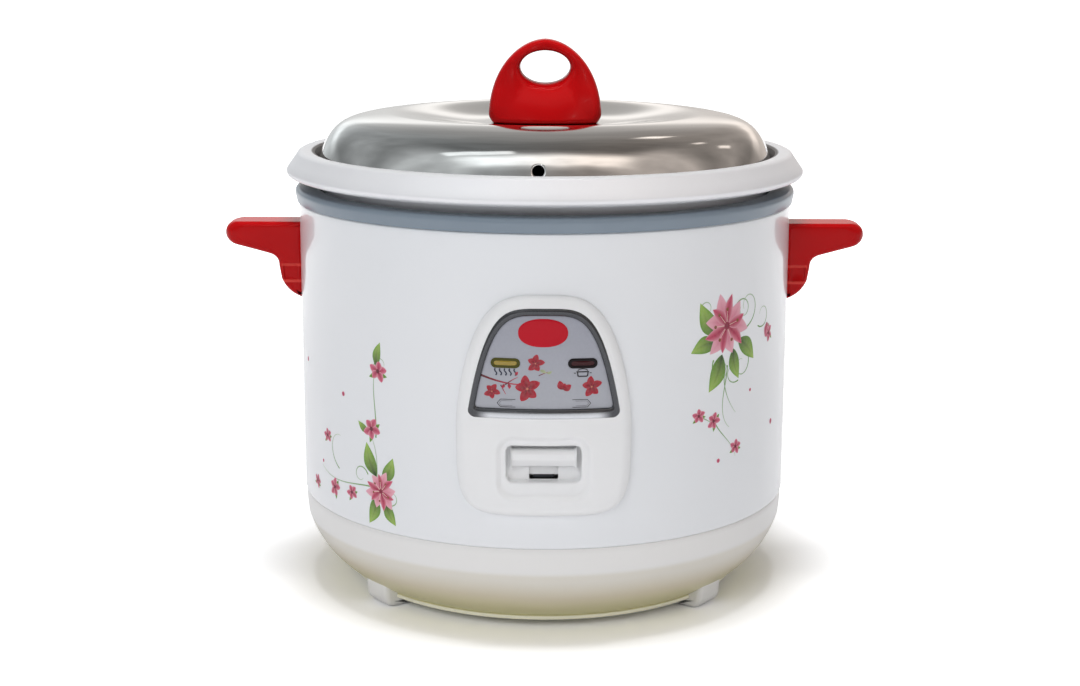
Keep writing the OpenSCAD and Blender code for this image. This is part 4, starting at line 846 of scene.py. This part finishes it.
def buildPanel():
    # rings from the outer edge over the bevel and the face, down the dish and the pocket, and back behind
    n = 300
    outer = resample(panelOutline(), n)
    smooth = np.mean([np.roll(outer, k, 0) for k in (-1, 0, 1)], 0)
    d = np.roll(smooth, -1, 0) - np.roll(smooth, 1, 0)
    inward = np.stack([-d[:, 1], d[:, 0]], 1) / np.linalg.norm(d, axis=1)[:, None]
    centre = np.array([0, (panel["slotZ"][0] + panel["slotZ"][1]) / 2])
    r0 = body["r"]
    rings = [onDrum(outer, r0 + 0.05), onDrum(outer, r0 + 0.7)]
    rise = faceR - r0 - 0.7
    for t in np.linspace(0, np.pi / 2, 12)[1:]:
        rings.append(onDrum(outer + inward * panel["bevel"] * (1 - np.cos(t)), r0 + 0.7 + rise * np.sin(t)))
    inner = outer + inward * panel["bevel"]
    dishes = onRays(boxOutline(panel["dishHalf"], *panel["dishZ"], 8.5), centre, inner)
    arch = archOutline(panel["bezelHalf"], bezelLow, bezelHigh, 3.4)
    for t in np.linspace(0, 1, 62)[1:]:
        flat = inner + (dishes - inner) * t
        sink = smoothStep((insideDistance(flat, arch) - 0.7) / 1.6)
        rings.append(onDrum(flat, faceR - panel["recess"] * sink))
    pocket = onRays(boxOutline(panel["pocketHalf"], *panel["pocketZ"], 3.2), centre, inner)
    wide = onRays(boxOutline(panel["pocketHalf"] + 0.9, panel["pocketZ"][0] - 0.9, panel["pocketZ"][1] + 0.9, 4.0),
                  centre, inner)
    for t in np.linspace(0, 1, 12)[1:]:
        flat = dishes + (wide - dishes) * t
        gone = np.linalg.norm(flat - dishes, axis=1)
        rings.append(onDrum(flat, faceR - panel["dish"] * smoothStep(gone / 3.4)))
    low = faceR - panel["dish"]
    for t in np.linspace(0, np.pi / 2, 5)[1:]:
        rings.append(onDrum(wide + (pocket - wide) * np.sin(t), low - 0.9 * (1 - np.cos(t))))
    back = panel["backY"]

    def wall(flat, y):
        return np.stack([flat[:, 0], np.full(len(flat), -y), flat[:, 1]], 1)
    slot = onRays(boxOutline(panel["slotHalf"], *panel["slotZ"], 0.8), centre, inner)
    rings.append(wall(pocket, back + 0.9))
    small = pocket + (slot - pocket) * 0.08
    rings += [wall(pocket + (small - pocket) * 0.3, back + 0.27), wall(small, back)]
    rings += [wall(small + (slot - small) * t, back) for t in (0.33, 0.66, 1.0)]
    rings += [wall(slot, back - 1.2)]
    box = onRays(boxOutline(panel["pocketHalf"] + 1.8, panel["pocketZ"][0] - 1.8, panel["pocketZ"][1] + 1.8, 3.5),
                 centre, inner)
    rings += [wall(box, back - 1.2), onDrum(box, r0 + 0.3)]
    rings += [onDrum(box + (outer - box) * t, r0 + 0.3) for t in (0.25, 0.5, 0.75)]
    rings += [onDrum(outer + inward * 0.4, r0 + 0.3)]
    points = np.stack(rings)
    return stand(makePiece("switchPanel", points, cells(len(rings), n, True, True), panelPlastic, "housing", sharp=50),
                 "front_panel")


def ringPiece(name, outer, inner, centre, section, finish, n=220):
    # a frame between two outlines; section lists (way from outer to inner, radius on the drum)
    rays = resample(outer, n)
    near = onRays(inner, centre, rays)
    points = np.stack([onDrum(rays + (near - rays) * t, r) for t, r in section])
    return makePiece(name, points, cells(len(section), n, True, True), finish, "housing", sharp=50)


def platePiece(name, outline, centre, front, back, finish, crown=0.0, edge=0.15, n=160):
    # a filled outline on the drum: rings shrink to the centre in front and behind, the front crowned and edged
    rim = resample(outline, n)
    size = np.linalg.norm(rim - centre, axis=1).min()
    rows = []
    for t in np.linspace(0, 1, 9)[:-1]:
        rows.append(onDrum(centre + (rim - centre) * max(t, 1e-6) * (1 - edge / size), front + crown * (1 - t * t)))
    rows.append(onDrum(centre + (rim - centre) * (1 - edge / size), front))
    rows.append(onDrum(centre + (rim - centre) * (1 - 0.3 * edge / size), front - 0.3 * edge))
    rows.append(onDrum(rim, front - edge))
    rows += [onDrum(centre + (rim - centre) * max(t, 1e-6), back) for t in (1.0, 0.5, 0.0)]
    return makePiece(name, np.stack(rows), cells(len(rows), n, False, True), finish, "housing", sharp=50)


def buildBezel():
    # a frame whose front stands at top - 0.95 |2 t - 1|^2.6 on the way t from its outer to its inner edge
    w = panel["bezelWidth"]
    outer = archOutline(panel["bezelHalf"], bezelLow, bezelHigh, 3.4)
    inner = archOutline(panel["bezelHalf"] - w, bezelLow + panel["bezelFoot"], bezelHigh - w, 1.6)
    low, top = faceR - 1.15, faceR + 0.8
    t = np.linspace(0, 1, 15)
    crown = top - 0.95 * np.abs(2 * t - 1) ** 2.6
    section = [(0.0, low)] + [(a, b) for a, b in zip(t, crown)] + [(1.0, low)]
    return stand(ringPiece("panelBezel", outer, inner, np.array([0, bezelLow + 24]), section, bezelGrey),
                 "panel_bezel")


def buildLabel():
    # the film that fills the bezel, tucked a little under it
    w = panel["bezelWidth"] - 0.7
    outline = archOutline(panel["bezelHalf"] - w, bezelLow + panel["bezelFoot"], bezelHigh - w, 1.8)
    return stand(platePiece("labelFilm", outline, np.array([0, bezelLow + 24]), faceR - 0.6, faceR - 1.15, labelPrint,
                            edge=0.05, n=240), "label_plate")


buildPanel()
buildBezel()
buildLabel()
print("switch panel built")


# button and its link to the back plate

button = {"edge": 1.7, "tall": 8.4, "back": 128.2, "neckHalf": 5.6, "plateHalf": 9.0}


def buildButton():
    # the bar's side view carried across its width with rounded ends, then the neck and the plate behind the wall
    low, high = span("switch_button")
    half, plateY, front, back = high[0], high[1], -low[1], button["back"]
    z0, z1 = high[2] - button["tall"], high[2]
    outline = roundPath([(-back, z0, 0.3), (-front + 3.4, z0, 0.8), (-front + 0.1, z0 + 3.8, 1.6),
                         (-front, z1, 2.2), (-back, z1, 0.6)], 7, True)
    bar = slab("buttonBar", outline, edgeLevels(-half, half, button["edge"], 7),
               lambda p: np.stack([p[:, 2], p[:, 0], p[:, 1]], 1), panelPlastic, "button", sharp=50)
    stem = slab("buttonNeck", boxOutline(button["neckHalf"], z0 + 1, z0 + 5, 0.5),
                [(0, back - 0.5), (0, -plateY + 0.6)], facing(), panelPlastic, "button")
    plate = slab("buttonPlate", boxOutline(button["plateHalf"], z0 - 5.4, z0 + 7.4, 1),
                 edgeLevels(-plateY, -plateY + 1.3, 0.3, 2), facing(), panelPlastic, "button")
    return stand(bar, "switch_button")


buildButton()
print("button built")


# printed art: petals, leaves, tendrils and dots as thin coloured grids

class PrintSheet:
    # gathers grids of (u, v) with a lift and a colour for each point, and makes one piece of them
    def __init__(self):
        self.points, self.faces, self.colours, self.count = [], [], [], 0

    def add(self, grid, lift, colour, wrap=False):
        # grid is K x n x m x 2, lift K, colour K x n x m x 3
        k, n, m = grid.shape[:3]
        one = cells(n, m, False, wrap)
        self.points.append(np.concatenate([grid, np.broadcast_to(lift[:, None, None, None], (k, n, m, 1))], -1)
                           .reshape(-1, 3))
        self.faces.append((one[None] + (np.arange(k) * n * m)[:, None, None]).reshape(-1, 4) + self.count)
        self.colours.append(np.broadcast_to(colour, (k, n, m, 3)).reshape(-1, 3))
        self.count += k * n * m

    def piece(self, name, place, finish, slot):
        points, faces = np.concatenate(self.points), np.concatenate(self.faces)
        p = points[faces]
        turn = np.cross(p[:, 2, :2] - p[:, 0, :2], p[:, 3, :2] - p[:, 1, :2])
        faces[turn < 0] = faces[turn < 0][:, ::-1]
        made = makePiece(name, place(points), faces, finish, "housing", solid=False, merge=False,
                         tint=np.concatenate(self.colours), sharp=80)
        return made


def columns(rows, names):
    # a table of rows as one array for each name
    return dict(zip(names.split(), np.array(rows, float).T))


def blades(sheet, rows, heart, edge, tip, fold=0.0, width=0.9):
    # each blade runs length L along its angle, bent sideways, with a half width W sin(pi a^k)^width
    # rows: u, v, angle in degrees, length, half width, bend, lift
    c = columns(rows, "u v angle length half bend lift")
    a = np.linspace(0.0, 1, 15)[None, :, None]
    b = np.linspace(-1, 1, 9)[None, None, :]
    e = {key: value[:, None, None] for key, value in c.items()}
    heading = np.radians(e["angle"])
    along = e["length"] * a
    across = e["half"] * np.sin(np.pi * np.clip(a, 1e-3, 0.999) ** 0.85) ** width * b + e["bend"] * np.sin(np.pi * a)
    grid = np.stack([e["u"] + along * np.cos(heading) - across * np.sin(heading),
                     e["v"] + along * np.sin(heading) + across * np.cos(heading)], -1)
    vein = np.exp(-(b / 0.16) ** 2) * (1 - a) * fold
    t = (np.clip(a * 1.15 - 0.1, 0, 1) ** 0.8 + 0 * b)[..., None]
    side = (np.abs(b) ** 2.2 + 0 * a)[..., None]
    heart, edge, tip = (np.array(x)[:3] for x in (heart, edge, tip))
    colour = heart * (1 - t) + tip * t
    colour = colour * (1 - 0.75 * side) + edge * 0.75 * side
    colour = colour * (1 - vein[..., None]) + heart * 0.8 * vein[..., None]
    sheet.add(grid, c["lift"], colour)


def tendrils(sheet, rows, start, end):
    # a line whose heading turns from one rate to another along its length, thinning to its tip
    # rows: u, v, angle, length, first turn and last turn in degrees per mm, half width, lift
    c = columns(rows, "u v angle length first last half lift")
    e = {key: value[:, None] for key, value in c.items()}
    s = np.linspace(0, 1, 56)[None]
    heading = np.radians(e["angle"] + e["length"] * (e["first"] * s + (e["last"] - e["first"]) * s * s / 2))
    step = e["length"] / 55
    du, dv = np.cos(heading) * step, np.sin(heading) * step
    u = e["u"] + np.cumsum(du, 1) - du
    v = e["v"] + np.cumsum(dv, 1) - dv
    half = (e["half"] * (1 - 0.55 * s))[..., None] * np.linspace(-1, 1, 3)
    grid = np.stack([u[..., None] - half * np.sin(heading)[..., None],
                     v[..., None] + half * np.cos(heading)[..., None]], -1)
    t = s[..., None, None]
    sheet.add(grid, c["lift"], np.array(start)[:3] * (1 - t) + np.array(end)[:3] * t)


def dots(sheet, rows, middle, rim):
    # small discs: u, v, radius, lift
    c = columns(rows, "u v r lift")
    a = tau * np.arange(16) / 16
    w = np.array([1e-3, 0.6, 1.0])[None, :, None]
    r = c["r"][:, None, None] * w
    grid = np.stack([c["u"][:, None, None] + r * np.cos(a), c["v"][:, None, None] + r * np.sin(a)], -1)
    t = (w + 0 * a)[..., None]
    sheet.add(grid, c["lift"], np.array(middle)[:3] * (1 - t) + np.array(rim)[:3] * t, True)


pinks = {"heart": ink(168, 24, 66), "mid": ink(214, 92, 124), "edge": ink(238, 178, 192), "tip": ink(206, 70, 104)}
greens = {"dark": ink(38, 64, 22), "mid": ink(96, 150, 46), "light": ink(168, 202, 92), "pale": ink(196, 212, 190)}


def star(u, v, size, count, turn, wide, lift):
    # blades of one flower, set round a centre, every other one a little shorter
    k = np.arange(count)
    angle = turn + 360 * k / count
    length = size * np.where(k % 2, 0.86, 1.0)
    return [[u + 0.05 * size * np.cos(np.radians(g)), v + 0.05 * size * np.sin(np.radians(g)), g, s, wide * size,
             0.06 * size * (-1) ** i, lift + 0.012 * i] for i, (g, s) in enumerate(zip(angle, length))]


def bigBlossom(sheet, u, v, size, turn):
    # a lily-like flower: a back row of pale petals, a front row of deep ones, stamens and their tips
    blades(sheet, star(u, v, size, 6, turn + 30, 0.25, 0.10), pinks["mid"], pinks["edge"], pinks["edge"], 0.5)
    blades(sheet, star(u, v, size * 0.92, 6, turn, 0.21, 0.20), pinks["heart"], pinks["edge"], pinks["tip"], 0.8)
    stamens = (8, 52, 96, 150, 215, 290)
    rows = [[u, v, turn + g, size * 0.5, 1.6, -1.2, 0.16, 0.32] for g in stamens]
    tendrils(sheet, rows, ink(246, 226, 200), ink(250, 236, 220))
    ends = [[u + 0.5 * size * np.cos(np.radians(turn + g + 4)), v + 0.5 * size * np.sin(np.radians(turn + g + 4)),
             0.055 * size, 0.36] for g in stamens]
    dots(sheet, ends, ink(120, 60, 30), ink(150, 84, 40))
    dots(sheet, [[u, v, 0.12 * size, 0.34]], ink(120, 12, 46), ink(150, 20, 58))


def smallBlossom(sheet, u, v, size, turn):
    # a few round red petals with a dark middle and two tiny leaves
    blades(sheet, [[u, v, turn + 200, size * 1.25, 0.26 * size, 0.1 * size, 0.06],
                   [u, v, turn + 330, size * 1.15, 0.24 * size, -0.1 * size, 0.07]],
           greens["dark"], greens["light"], greens["mid"], 0.4)
    blades(sheet, star(u, v, size, 5, turn, 0.36, 0.10), pinks["heart"], pinks["edge"], pinks["mid"], 0.5, 0.6)
    dots(sheet, [[u, v, 0.2 * size, 0.2]], ink(70, 10, 30), ink(128, 16, 50))


def leaves(sheet, rows):
    # green blades with a dark vein
    blades(sheet, rows, greens["dark"], greens["mid"], greens["light"], 0.6, 1.0)


def curls(sheet, rows):
    # curling tendrils that fade from green to pale, right on the enamel; the rows leave out the lift
    tendrils(sheet, [row + [0.02] for row in rows], greens["mid"], greens["pale"])


def buildDrumPrint():
    # u is the way round the drum from the front, v the height, both in millimetres
    sheet = PrintSheet()
    # right spray
    curls(sheet, [[96, 150, 100, 34, -3.0, -16.0, 0.42], [104, 160, 70, 30, -5.0, -20.0, 0.4],
                  [112, 150, 15, 36, 2.0, 14.0, 0.42], [90, 138, 250, 30, 5.0, 19.0, 0.4],
                  [116, 140, 300, 30, -4.0, -18.0, 0.4], [100, 134, 270, 34, -2.5, 6.0, 0.4],
                  [126, 150, 330, 26, 7.0, 16.0, 0.36], [86, 158, 170, 24, -7.0, -24.0, 0.36]])
    leaves(sheet, [[94, 150, 128, 22, 5.0, 2.2, 0.04], [92, 146, 190, 17, 4.4, -1.8, 0.05],
                   [96, 140, 244, 20, 5.2, 1.6, 0.05], [108, 146, 320, 19, 4.6, 1.4, 0.05],
                   [104, 142, 288, 17, 4.0, -1.2, 0.04]])
    bigBlossom(sheet, 99, 154, 16.5, 78)
    blades(sheet, [[136, 150, 285, 9, 2.4, 0.6, 0.1], [137, 150, 255, 8, 2.0, -0.6, 0.12]], pinks["heart"],
           pinks["edge"], pinks["mid"], 0.4)
    for u, v, size, turn in [(81, 111, 4.0, 20), (91, 107, 4.4, 70), (108, 91, 4.2, 10), (139, 144, 4.4, 120)]:
        smallBlossom(sheet, u, v, size, turn)
    curls(sheet, [[81, 111, 330, 14, 2.0, -6.0, 0.3], [92, 106, 300, 26, 3.0, -4.0, 0.3],
                  [98, 132, 262, 26, 3.0, 1.0, 0.34], [109, 125, 200, 22, -6.0, -22.0, 0.32]])
    dots(sheet, [[95, 86, 1.1, 0.1], [146, 96, 1.5, 0.1], [120, 118, 0.9, 0.1]], pinks["heart"], pinks["mid"])
    # left spray
    curls(sheet, [[-90, 60, 96, 40, -1.5, 3.0, 0.42], [-90, 98, 84, 42, 1.6, -3.0, 0.4],
                  [-88, 72, 176, 52, 1.2, -2.2, 0.38], [-96, 78, 120, 20, 8.0, 22.0, 0.34],
                  [-84, 66, 320, 16, 10.0, 24.0, 0.34], [-90, 132, 110, 14, -8.0, -24.0, 0.32],
                  [-120, 76, 150, 26, -3.0, -10.0, 0.3]])
    leaves(sheet, [[-89, 134, 78, 13, 2.6, 1.0, 0.04], [-90, 78, 112, 18, 4.2, 1.6, 0.05],
                   [-86, 76, 62, 15, 3.6, -1.2, 0.05], [-90, 68, 250, 16, 3.8, 1.2, 0.05],
                   [-84, 66, 300, 13, 3.2, -1.0, 0.05], [-95, 100, 150, 9, 2.0, 0.6, 0.05]])
    bigBlossom(sheet, -87, 71, 10.5, 40)
    for u, v, size, turn in [(-88, 132, 5.6, 10), (-93, 102, 5.8, 60), (-132, 91, 4.0, 30), (-125, 65, 5.0, 80),
                             (-147, 63, 4.0, 0), (-109, 66, 4.2, 45)]:
        smallBlossom(sheet, u, v, size, turn)
    dots(sheet, [[-115, 116, 1.2, 0.1], [-161, 125, 1.3, 0.1], [-138, 76, 0.9, 0.1]], pinks["heart"], pinks["mid"])
    r = body["r"]

    def place(p):
        angle, out = p[:, 0] / r, r + 0.03 + 0.35 * p[:, 2]
        return np.stack([out * np.sin(angle), -out * np.cos(angle), p[:, 1]], 1)
    return sheet.piece("flowerPrint", place, flowerInk, "shell_paint")


art = {"badge": (-0.5, 158.3, 11.8, 6.8), "lensX": 18.3, "outer": (7.0, 2.4), "inner": (5.4, 1.0), "pane": (5.6, 1.2),
       "film": 0.6, "pot": (18.3, 137.3)}


def stadium(centre, half, tall, n=12):
    # a bar with round ends
    x, z = centre
    right = arcPoints((x + half - tall, z), tall, -90, 90, n)
    return np.concatenate([right, arcPoints((x - half + tall, z), tall, 90, 270, n)])


def buildLabelArt():
    # a badge, two framed lenses, then the print on the film: u across, v up, in millimetres
    film = faceR - art["film"]
    x, z, half, tall = art["badge"]
    a = tau * np.arange(96) / 96
    c, d = np.cos(a), np.sin(a)
    shape = np.stack([x + half * np.sign(c) * np.abs(c) ** 0.9, z + tall * np.sign(d) * np.abs(d) ** 0.9], 1)
    platePiece("badge", shape, np.array([x, z]), film + 0.22, film - 0.1, badgeRed, 0.12, 0.12)
    section = [(0.0, film - 0.1), (0.0, film + 0.3), (0.12, film + 0.42), (0.7, film + 0.42), (1.0, film + 0.2),
               (1.0, film - 0.1)]
    for name, frameInk, lensFinish in (("warm", oliveInk, lensAmber), ("cook", blackInk, lensRed)):
        low, high = span(name + "_lens")
        centre = np.array([np.sign(low[0] + high[0]) * art["lensX"], (low[2] + high[2]) / 2])
        outer, inner, pane = (stadium(centre, *art[key]) for key in ("outer", "inner", "pane"))
        ringPiece(name + "LensFrame", outer, inner, centre, section, frameInk, 96)
        stand(platePiece(name + "Lens", pane, centre, film + 0.24, body["r"] - 1.2, lensFinish, 0.12, 0.1, 96),
              name + "_lens")
    sheet = PrintSheet()
    red, deep, pale = ink(178, 4, 38), ink(110, 2, 22), ink(200, 48, 76)

    def flower(u, v, size, turn):
        blades(sheet, star(u, v, size, 5, turn, 0.34, 0.06), deep, red, red, 0.5, 0.62)
        rows = [[u, v, turn + 36 + 72 * k, size * 0.45, 0, 0, 0.09, 0.2] for k in range(5)]
        tendrils(sheet, rows, pale, pale)
        dots(sheet, [[u, v, 0.12 * size, 0.22]], ink(226, 150, 110), ink(150, 40, 50))
    for u, v, size, turn in [(-4.1, 143.6, 4.3, 80), (-7.9, 131.3, 6.4, 100), (-24.7, 129.6, 3.9, 60),
                             (22.6, 132.1, 5.0, 95)]:
        flower(u, v, size, turn)
    blades(sheet, [[9.0, 131.0, 112, 4.6, 1.7, 0.3, 0.08], [9.0, 131.0, 30, 4.4, 1.6, -0.3, 0.1],
                   [9.0, 131.0, 72, 3.2, 1.3, 0, 0.12]], deep, red, red, 0.3, 0.7)
    tendrils(sheet, [[-30.4, 137.5, -20, 20, 0.4, 1.6, 0.55, 0.03], [-18.4, 133.1, 34, 7, 2.0, -6.0, 0.3, 0.03],
                     [-20.5, 132.9, 300, 5, -3.0, 4.0, 0.28, 0.03], [-2.5, 137.8, 20, 6, 4.0, -8.0, 0.22, 0.03]],
             ink(70, 10, 24), ink(196, 40, 66))
    blades(sheet, [[-16.8, 133.6, 280, 2.6, 0.8, 0.2, 0.06], [-18.8, 133.4, 240, 2.4, 0.7, 0.2, 0.06],
                   [-13.4, 137.6, 60, 2.2, 0.7, 0.2, 0.06]], deep, red, pale, 0.2)
    blades(sheet, [[-2.0, 140.2, 340, 3.4, 0.8, 0.3, 0.05], [1.2, 139.0, 20, 2.8, 0.7, -0.3, 0.05]],
           ink(150, 160, 120), ink(186, 192, 160), ink(170, 180, 140), 0.2)
    grey, blue, dark = ink(52, 52, 58), ink(26, 36, 60), ink(34, 34, 40)

    def line(points, half=0.17, colour=grey):
        p = evenly(np.array(points, float), 0.8)
        sheet.add(np.stack([beside(p, half), beside(p, -half)], 1)[None], np.array([0.05]), np.array(colour)[:3])
    # open frame at the foot of the label
    for s in (-1, 1):
        line([(s * 13.5, 126.0), (s * 20.6, 126.0), (s * 22.2, 124.1), (s * 20.6, 122.3), (s * 13.5, 122.3)])
        line([(s * 15.0, 125.3), (s * 20.2, 125.3), (s * 21.2, 124.1), (s * 20.2, 123.0), (s * 15.0, 123.0)], 0.08)
    # heat waves under one lens, a lidded pot under the other
    x0, z0 = art["pot"]
    t = np.linspace(0, 1, 14)
    for k in range(-2, 3):
        line(np.stack([-x0 + 2.3 * k + 0.5 * np.sin(t * tau * 0.95), 137.6 + 3.3 * t], 1), 0.34, blue)
    line([(x0 - 2.5, z0 + 2.1), (x0 - 2.3, z0 + 0.3), (x0 - 1.8, z0), (x0 + 1.8, z0), (x0 + 2.3, z0 + 0.3),
          (x0 + 2.5, z0 + 2.1)], 0.34, dark)
    line([(x0 - 3.0, z0 + 2.2), (x0 + 3.0, z0 + 2.2)], 0.34, dark)
    t = np.linspace(0, np.pi, 12)
    line(np.stack([x0 - 2.3 * np.cos(t), z0 + 2.7 + 0.9 * np.sin(t)], 1), 0.22, dark)
    for left, right in ((-4.2, -3.2), (3.2, 4.2)):
        line([(x0 + left, z0 + 1.6), (x0 + right, z0 + 1.6)], 0.22, dark)
    dots(sheet, [[x0, z0 + 4.0, 0.4, 0.06]], dark, dark)
    sheet.piece("labelArt", lambda p: onDrum(p[:, :2], film + 0.03 + 0.3 * p[:, 2]), flowerInk, "label_print")


buildDrumPrint()
buildLabelArt()
print("printed art built")


# floor, light and camera

# near and far are how the floor's glow grows with the way out: from, to in millimetres, then its strength at both;
# each lamp has a name, place, size, power and colour, and whether glossy things mirror it
studio = {"world": 0.25, "floor": (ink(236, 236, 238), ink(234, 234, 236)), "floorHalf": 30000.0, "aim": (0, 0, 0.13),
          "near": (105, 185, 0.0, 0.24), "far": (250, 1500, 0.0, 0.8),
          "lamps": (("keyLight", (-0.9, -1.7, 1.2), (1.0, 0.8), 11.9, (0.97, 0.985, 1.0), False),
                    ("fillLight", (1.2, -1.4, 1.0), (1.0, 0.8), 3.5, (1.0, 0.94, 0.88), False),
                    ("topLight", (0.0, -0.05, 1.7), (0.55, 0.55), 18.0, (1, 1, 1), False),
                    ("windowLight", (-0.5, -2.0, 1.0), (0.18, 0.3), 0.8, (1, 1, 1), True),
                    ("lampLight", (1.0, -1.7, 1.15), (0.16, 0.16), 0.6, (1, 1, 1), True))}


# what is mirrored: (degrees from the front horizon over the zenith, brightness), in the middle and at the sides, then
# brighter patches as from side, to side, from angle, to angle, brightness
room = {"bands": (((0, 0.3), (30, 0.34), (42, 0.34), (47, 0.6), (51, 1.3), (62, 1.5), (67, 1.1), (71, 0.6), (77, 0.24),
                   (86, 0.16), (108, 0.19), (121, 0.26), (136, 0.32), (152, 0.36), (159, 0.46), (164, 0.6), (167, 1.2),
                   (170, 1.1), (173, 0.7), (180, 0.62)),
                  ((0, 0.35), (44, 0.6), (60, 0.5), (72, 0.6), (80, 0.6), (92, 0.4), (102, 0.3), (112, 0.25),
                   (126, 0.32), (142, 0.4), (156, 0.26), (162, 0.22), (168, 0.36), (175, 0.36), (180, 0.36))),
        "patches": ((-0.62, -0.16, 71, 82, 1.25), (0.19, 0.31, 130, 138, 1.6), (0.55, 0.63, 118, 126, 1.3),
                    (0.68, 0.76, 128, 140, 1.5)),
        "left": (1.02, 1.08, 1.1, 1), "right": (1.0, 0.89, 0.81, 1)}


def buildStage():
    # a wide flat floor; to the camera and in reflections it glows, little near the shadow and white far away
    grid = np.linspace(-1, 1, 9) * studio["floorHalf"]
    x, y = np.meshgrid(grid, grid, indexing="ij")
    f = Finish("floorWhite", roughness=0.9, specular=0.0)
    f.show(baseColor=f.mix(f.noise(3.0), *studio["floor"]))
    white = f.node("ShaderNodeBsdfDiffuse", inputs={"Color": (1.3, 1.3, 1.3, 1)})
    away = f.radius()
    level = f.between(away, *studio["near"]) + f.between(away, *studio["far"])
    glow = f.node("ShaderNodeEmission", inputs={"Color": (1, 1, 1, 1), "Strength": level})
    dark = f.node("ShaderNodeEmission", inputs={"Color": (0, 0, 0, 1), "Strength": 0.0})
    path = f.node("ShaderNodeLightPath", output=0)
    glossy = f.node("ShaderNodeLightPath", output=3)
    shine = f.node("ShaderNodeMixShader", inputs={0: path + glossy, 1: dark, 2: glow})
    sheet = f.node("ShaderNodeMixShader", inputs={0: path, 1: Value(f, f.shader.outputs[0]), 2: white})
    both = f.node("ShaderNodeAddShader", inputs={0: sheet, 1: shine})
    f.tree.links.new(both.socket, f.tree.nodes["Material Output"].inputs["Surface"])
    mesh = bpy.data.meshes.new("floor")
    points = np.stack([x, y, 0 * x], -1).reshape(-1, 3) * mm
    mesh.from_pydata(points.tolist(), [], cells(9, 9).tolist())
    mesh.materials.append(f.material)
    floor = newObject("floor", mesh)


def buildWorld():
    # white to the camera and plain to matt things; glossy things mirror a room: its brightness goes by the angle
    # round X, from the front over the zenith to the back, with dimmer sides, a cool left and a warm right
    world = bpy.data.worlds.new("studio")
    bpy.context.scene.world = world
    world.use_nodes = True
    w = Nodes(world.node_tree)
    back = world.node_tree.nodes["Background"]
    way = w.node("ShaderNodeTexCoord", output=0)
    x, y, z = (w.node("ShaderNodeSeparateXYZ", inputs={0: way}, output=k) for k in range(3))
    patch, streak = w.noise(2.2, 2.0, way), w.noise(7.0, 3.0, way)
    angle = z.math("ARCTAN2", z, 0.0 - y) / np.pi + (patch - 0.5) * 0.05
    centre, edge = (w.ramp(angle, *[(a / 180, (v, v, v)) for a, v in stops]) for stops in room["bands"])
    both = w.mix(w.between(abs(x), 0.42, 0.7), centre, edge)
    for x0, x1, a0, a1, strength in room["patches"]:
        inside = (w.between(x, x0, x0 + 0.04) * w.between(x, x1, x1 - 0.04)
                  * w.between(angle, a0 / 180, a0 / 180 + 0.012) * w.between(angle, a1 / 180, a1 / 180 - 0.012))
        both = w.mix(inside, both, (strength, strength, strength, 1))
    tone = w.mix(w.between(x, -0.45, 0.4), room["left"], room["right"])
    cloudy = w.mix(streak, (0.72, 0.72, 0.72, 1), (1.28, 1.28, 1.28, 1))
    seenRoom = w.mix(1.0, w.mix(1.0, both, tone, "MULTIPLY"), cloudy, "MULTIPLY")
    glossy = w.node("ShaderNodeLightPath", output=3)
    camera = w.node("ShaderNodeLightPath", output=0)
    level = studio["world"]
    seen = w.mix(glossy, (level, level, level * 1.02, 1), seenRoom)
    w.feed(back, {"Color": w.mix(camera, seen, (1, 1, 1, 1)), "Strength": 1.0})


def areaLight(name, place, size, power, colour, shine):
    # a rectangular lamp that points at the middle of the cooker
    data = bpy.data.lights.new(name, "AREA")
    data.shape, data.size, data.size_y, data.energy, data.color = "RECTANGLE", size[0], size[1], power, colour
    lamp = newObject(name, data)
    lamp.location = place
    lamp.rotation_euler = (Vector(studio["aim"]) - Vector(place)).to_track_quat("-Z", "Y").to_euler()
    lamp.visible_glossy = shine


view = {"place": (0.0, -0.9887, 0.3382), "pitch": 77.81, "roll": -0.004, "lens": 62.0, "shift": -0.0053}


def buildCamera():
    # place in metres, pitch in degrees, roll in radians, lens in millimetres on a sensor 36 wide
    data = bpy.data.cameras.new("view")
    data.lens, data.sensor_width, data.shift_x, data.clip_end = view["lens"], 36.0, view["shift"], 100.0
    camera = newObject("view", data)
    camera.location = view["place"]
    camera.rotation_euler = (np.radians(view["pitch"]), view["roll"], 0.0)
    bpy.context.scene.camera = camera


buildStage()
buildWorld()
for lamp in studio["lamps"]:
    areaLight(*lamp)
buildCamera()
bpy.context.scene.view_settings.view_transform = "Standard"
print("stage, lights and camera set")
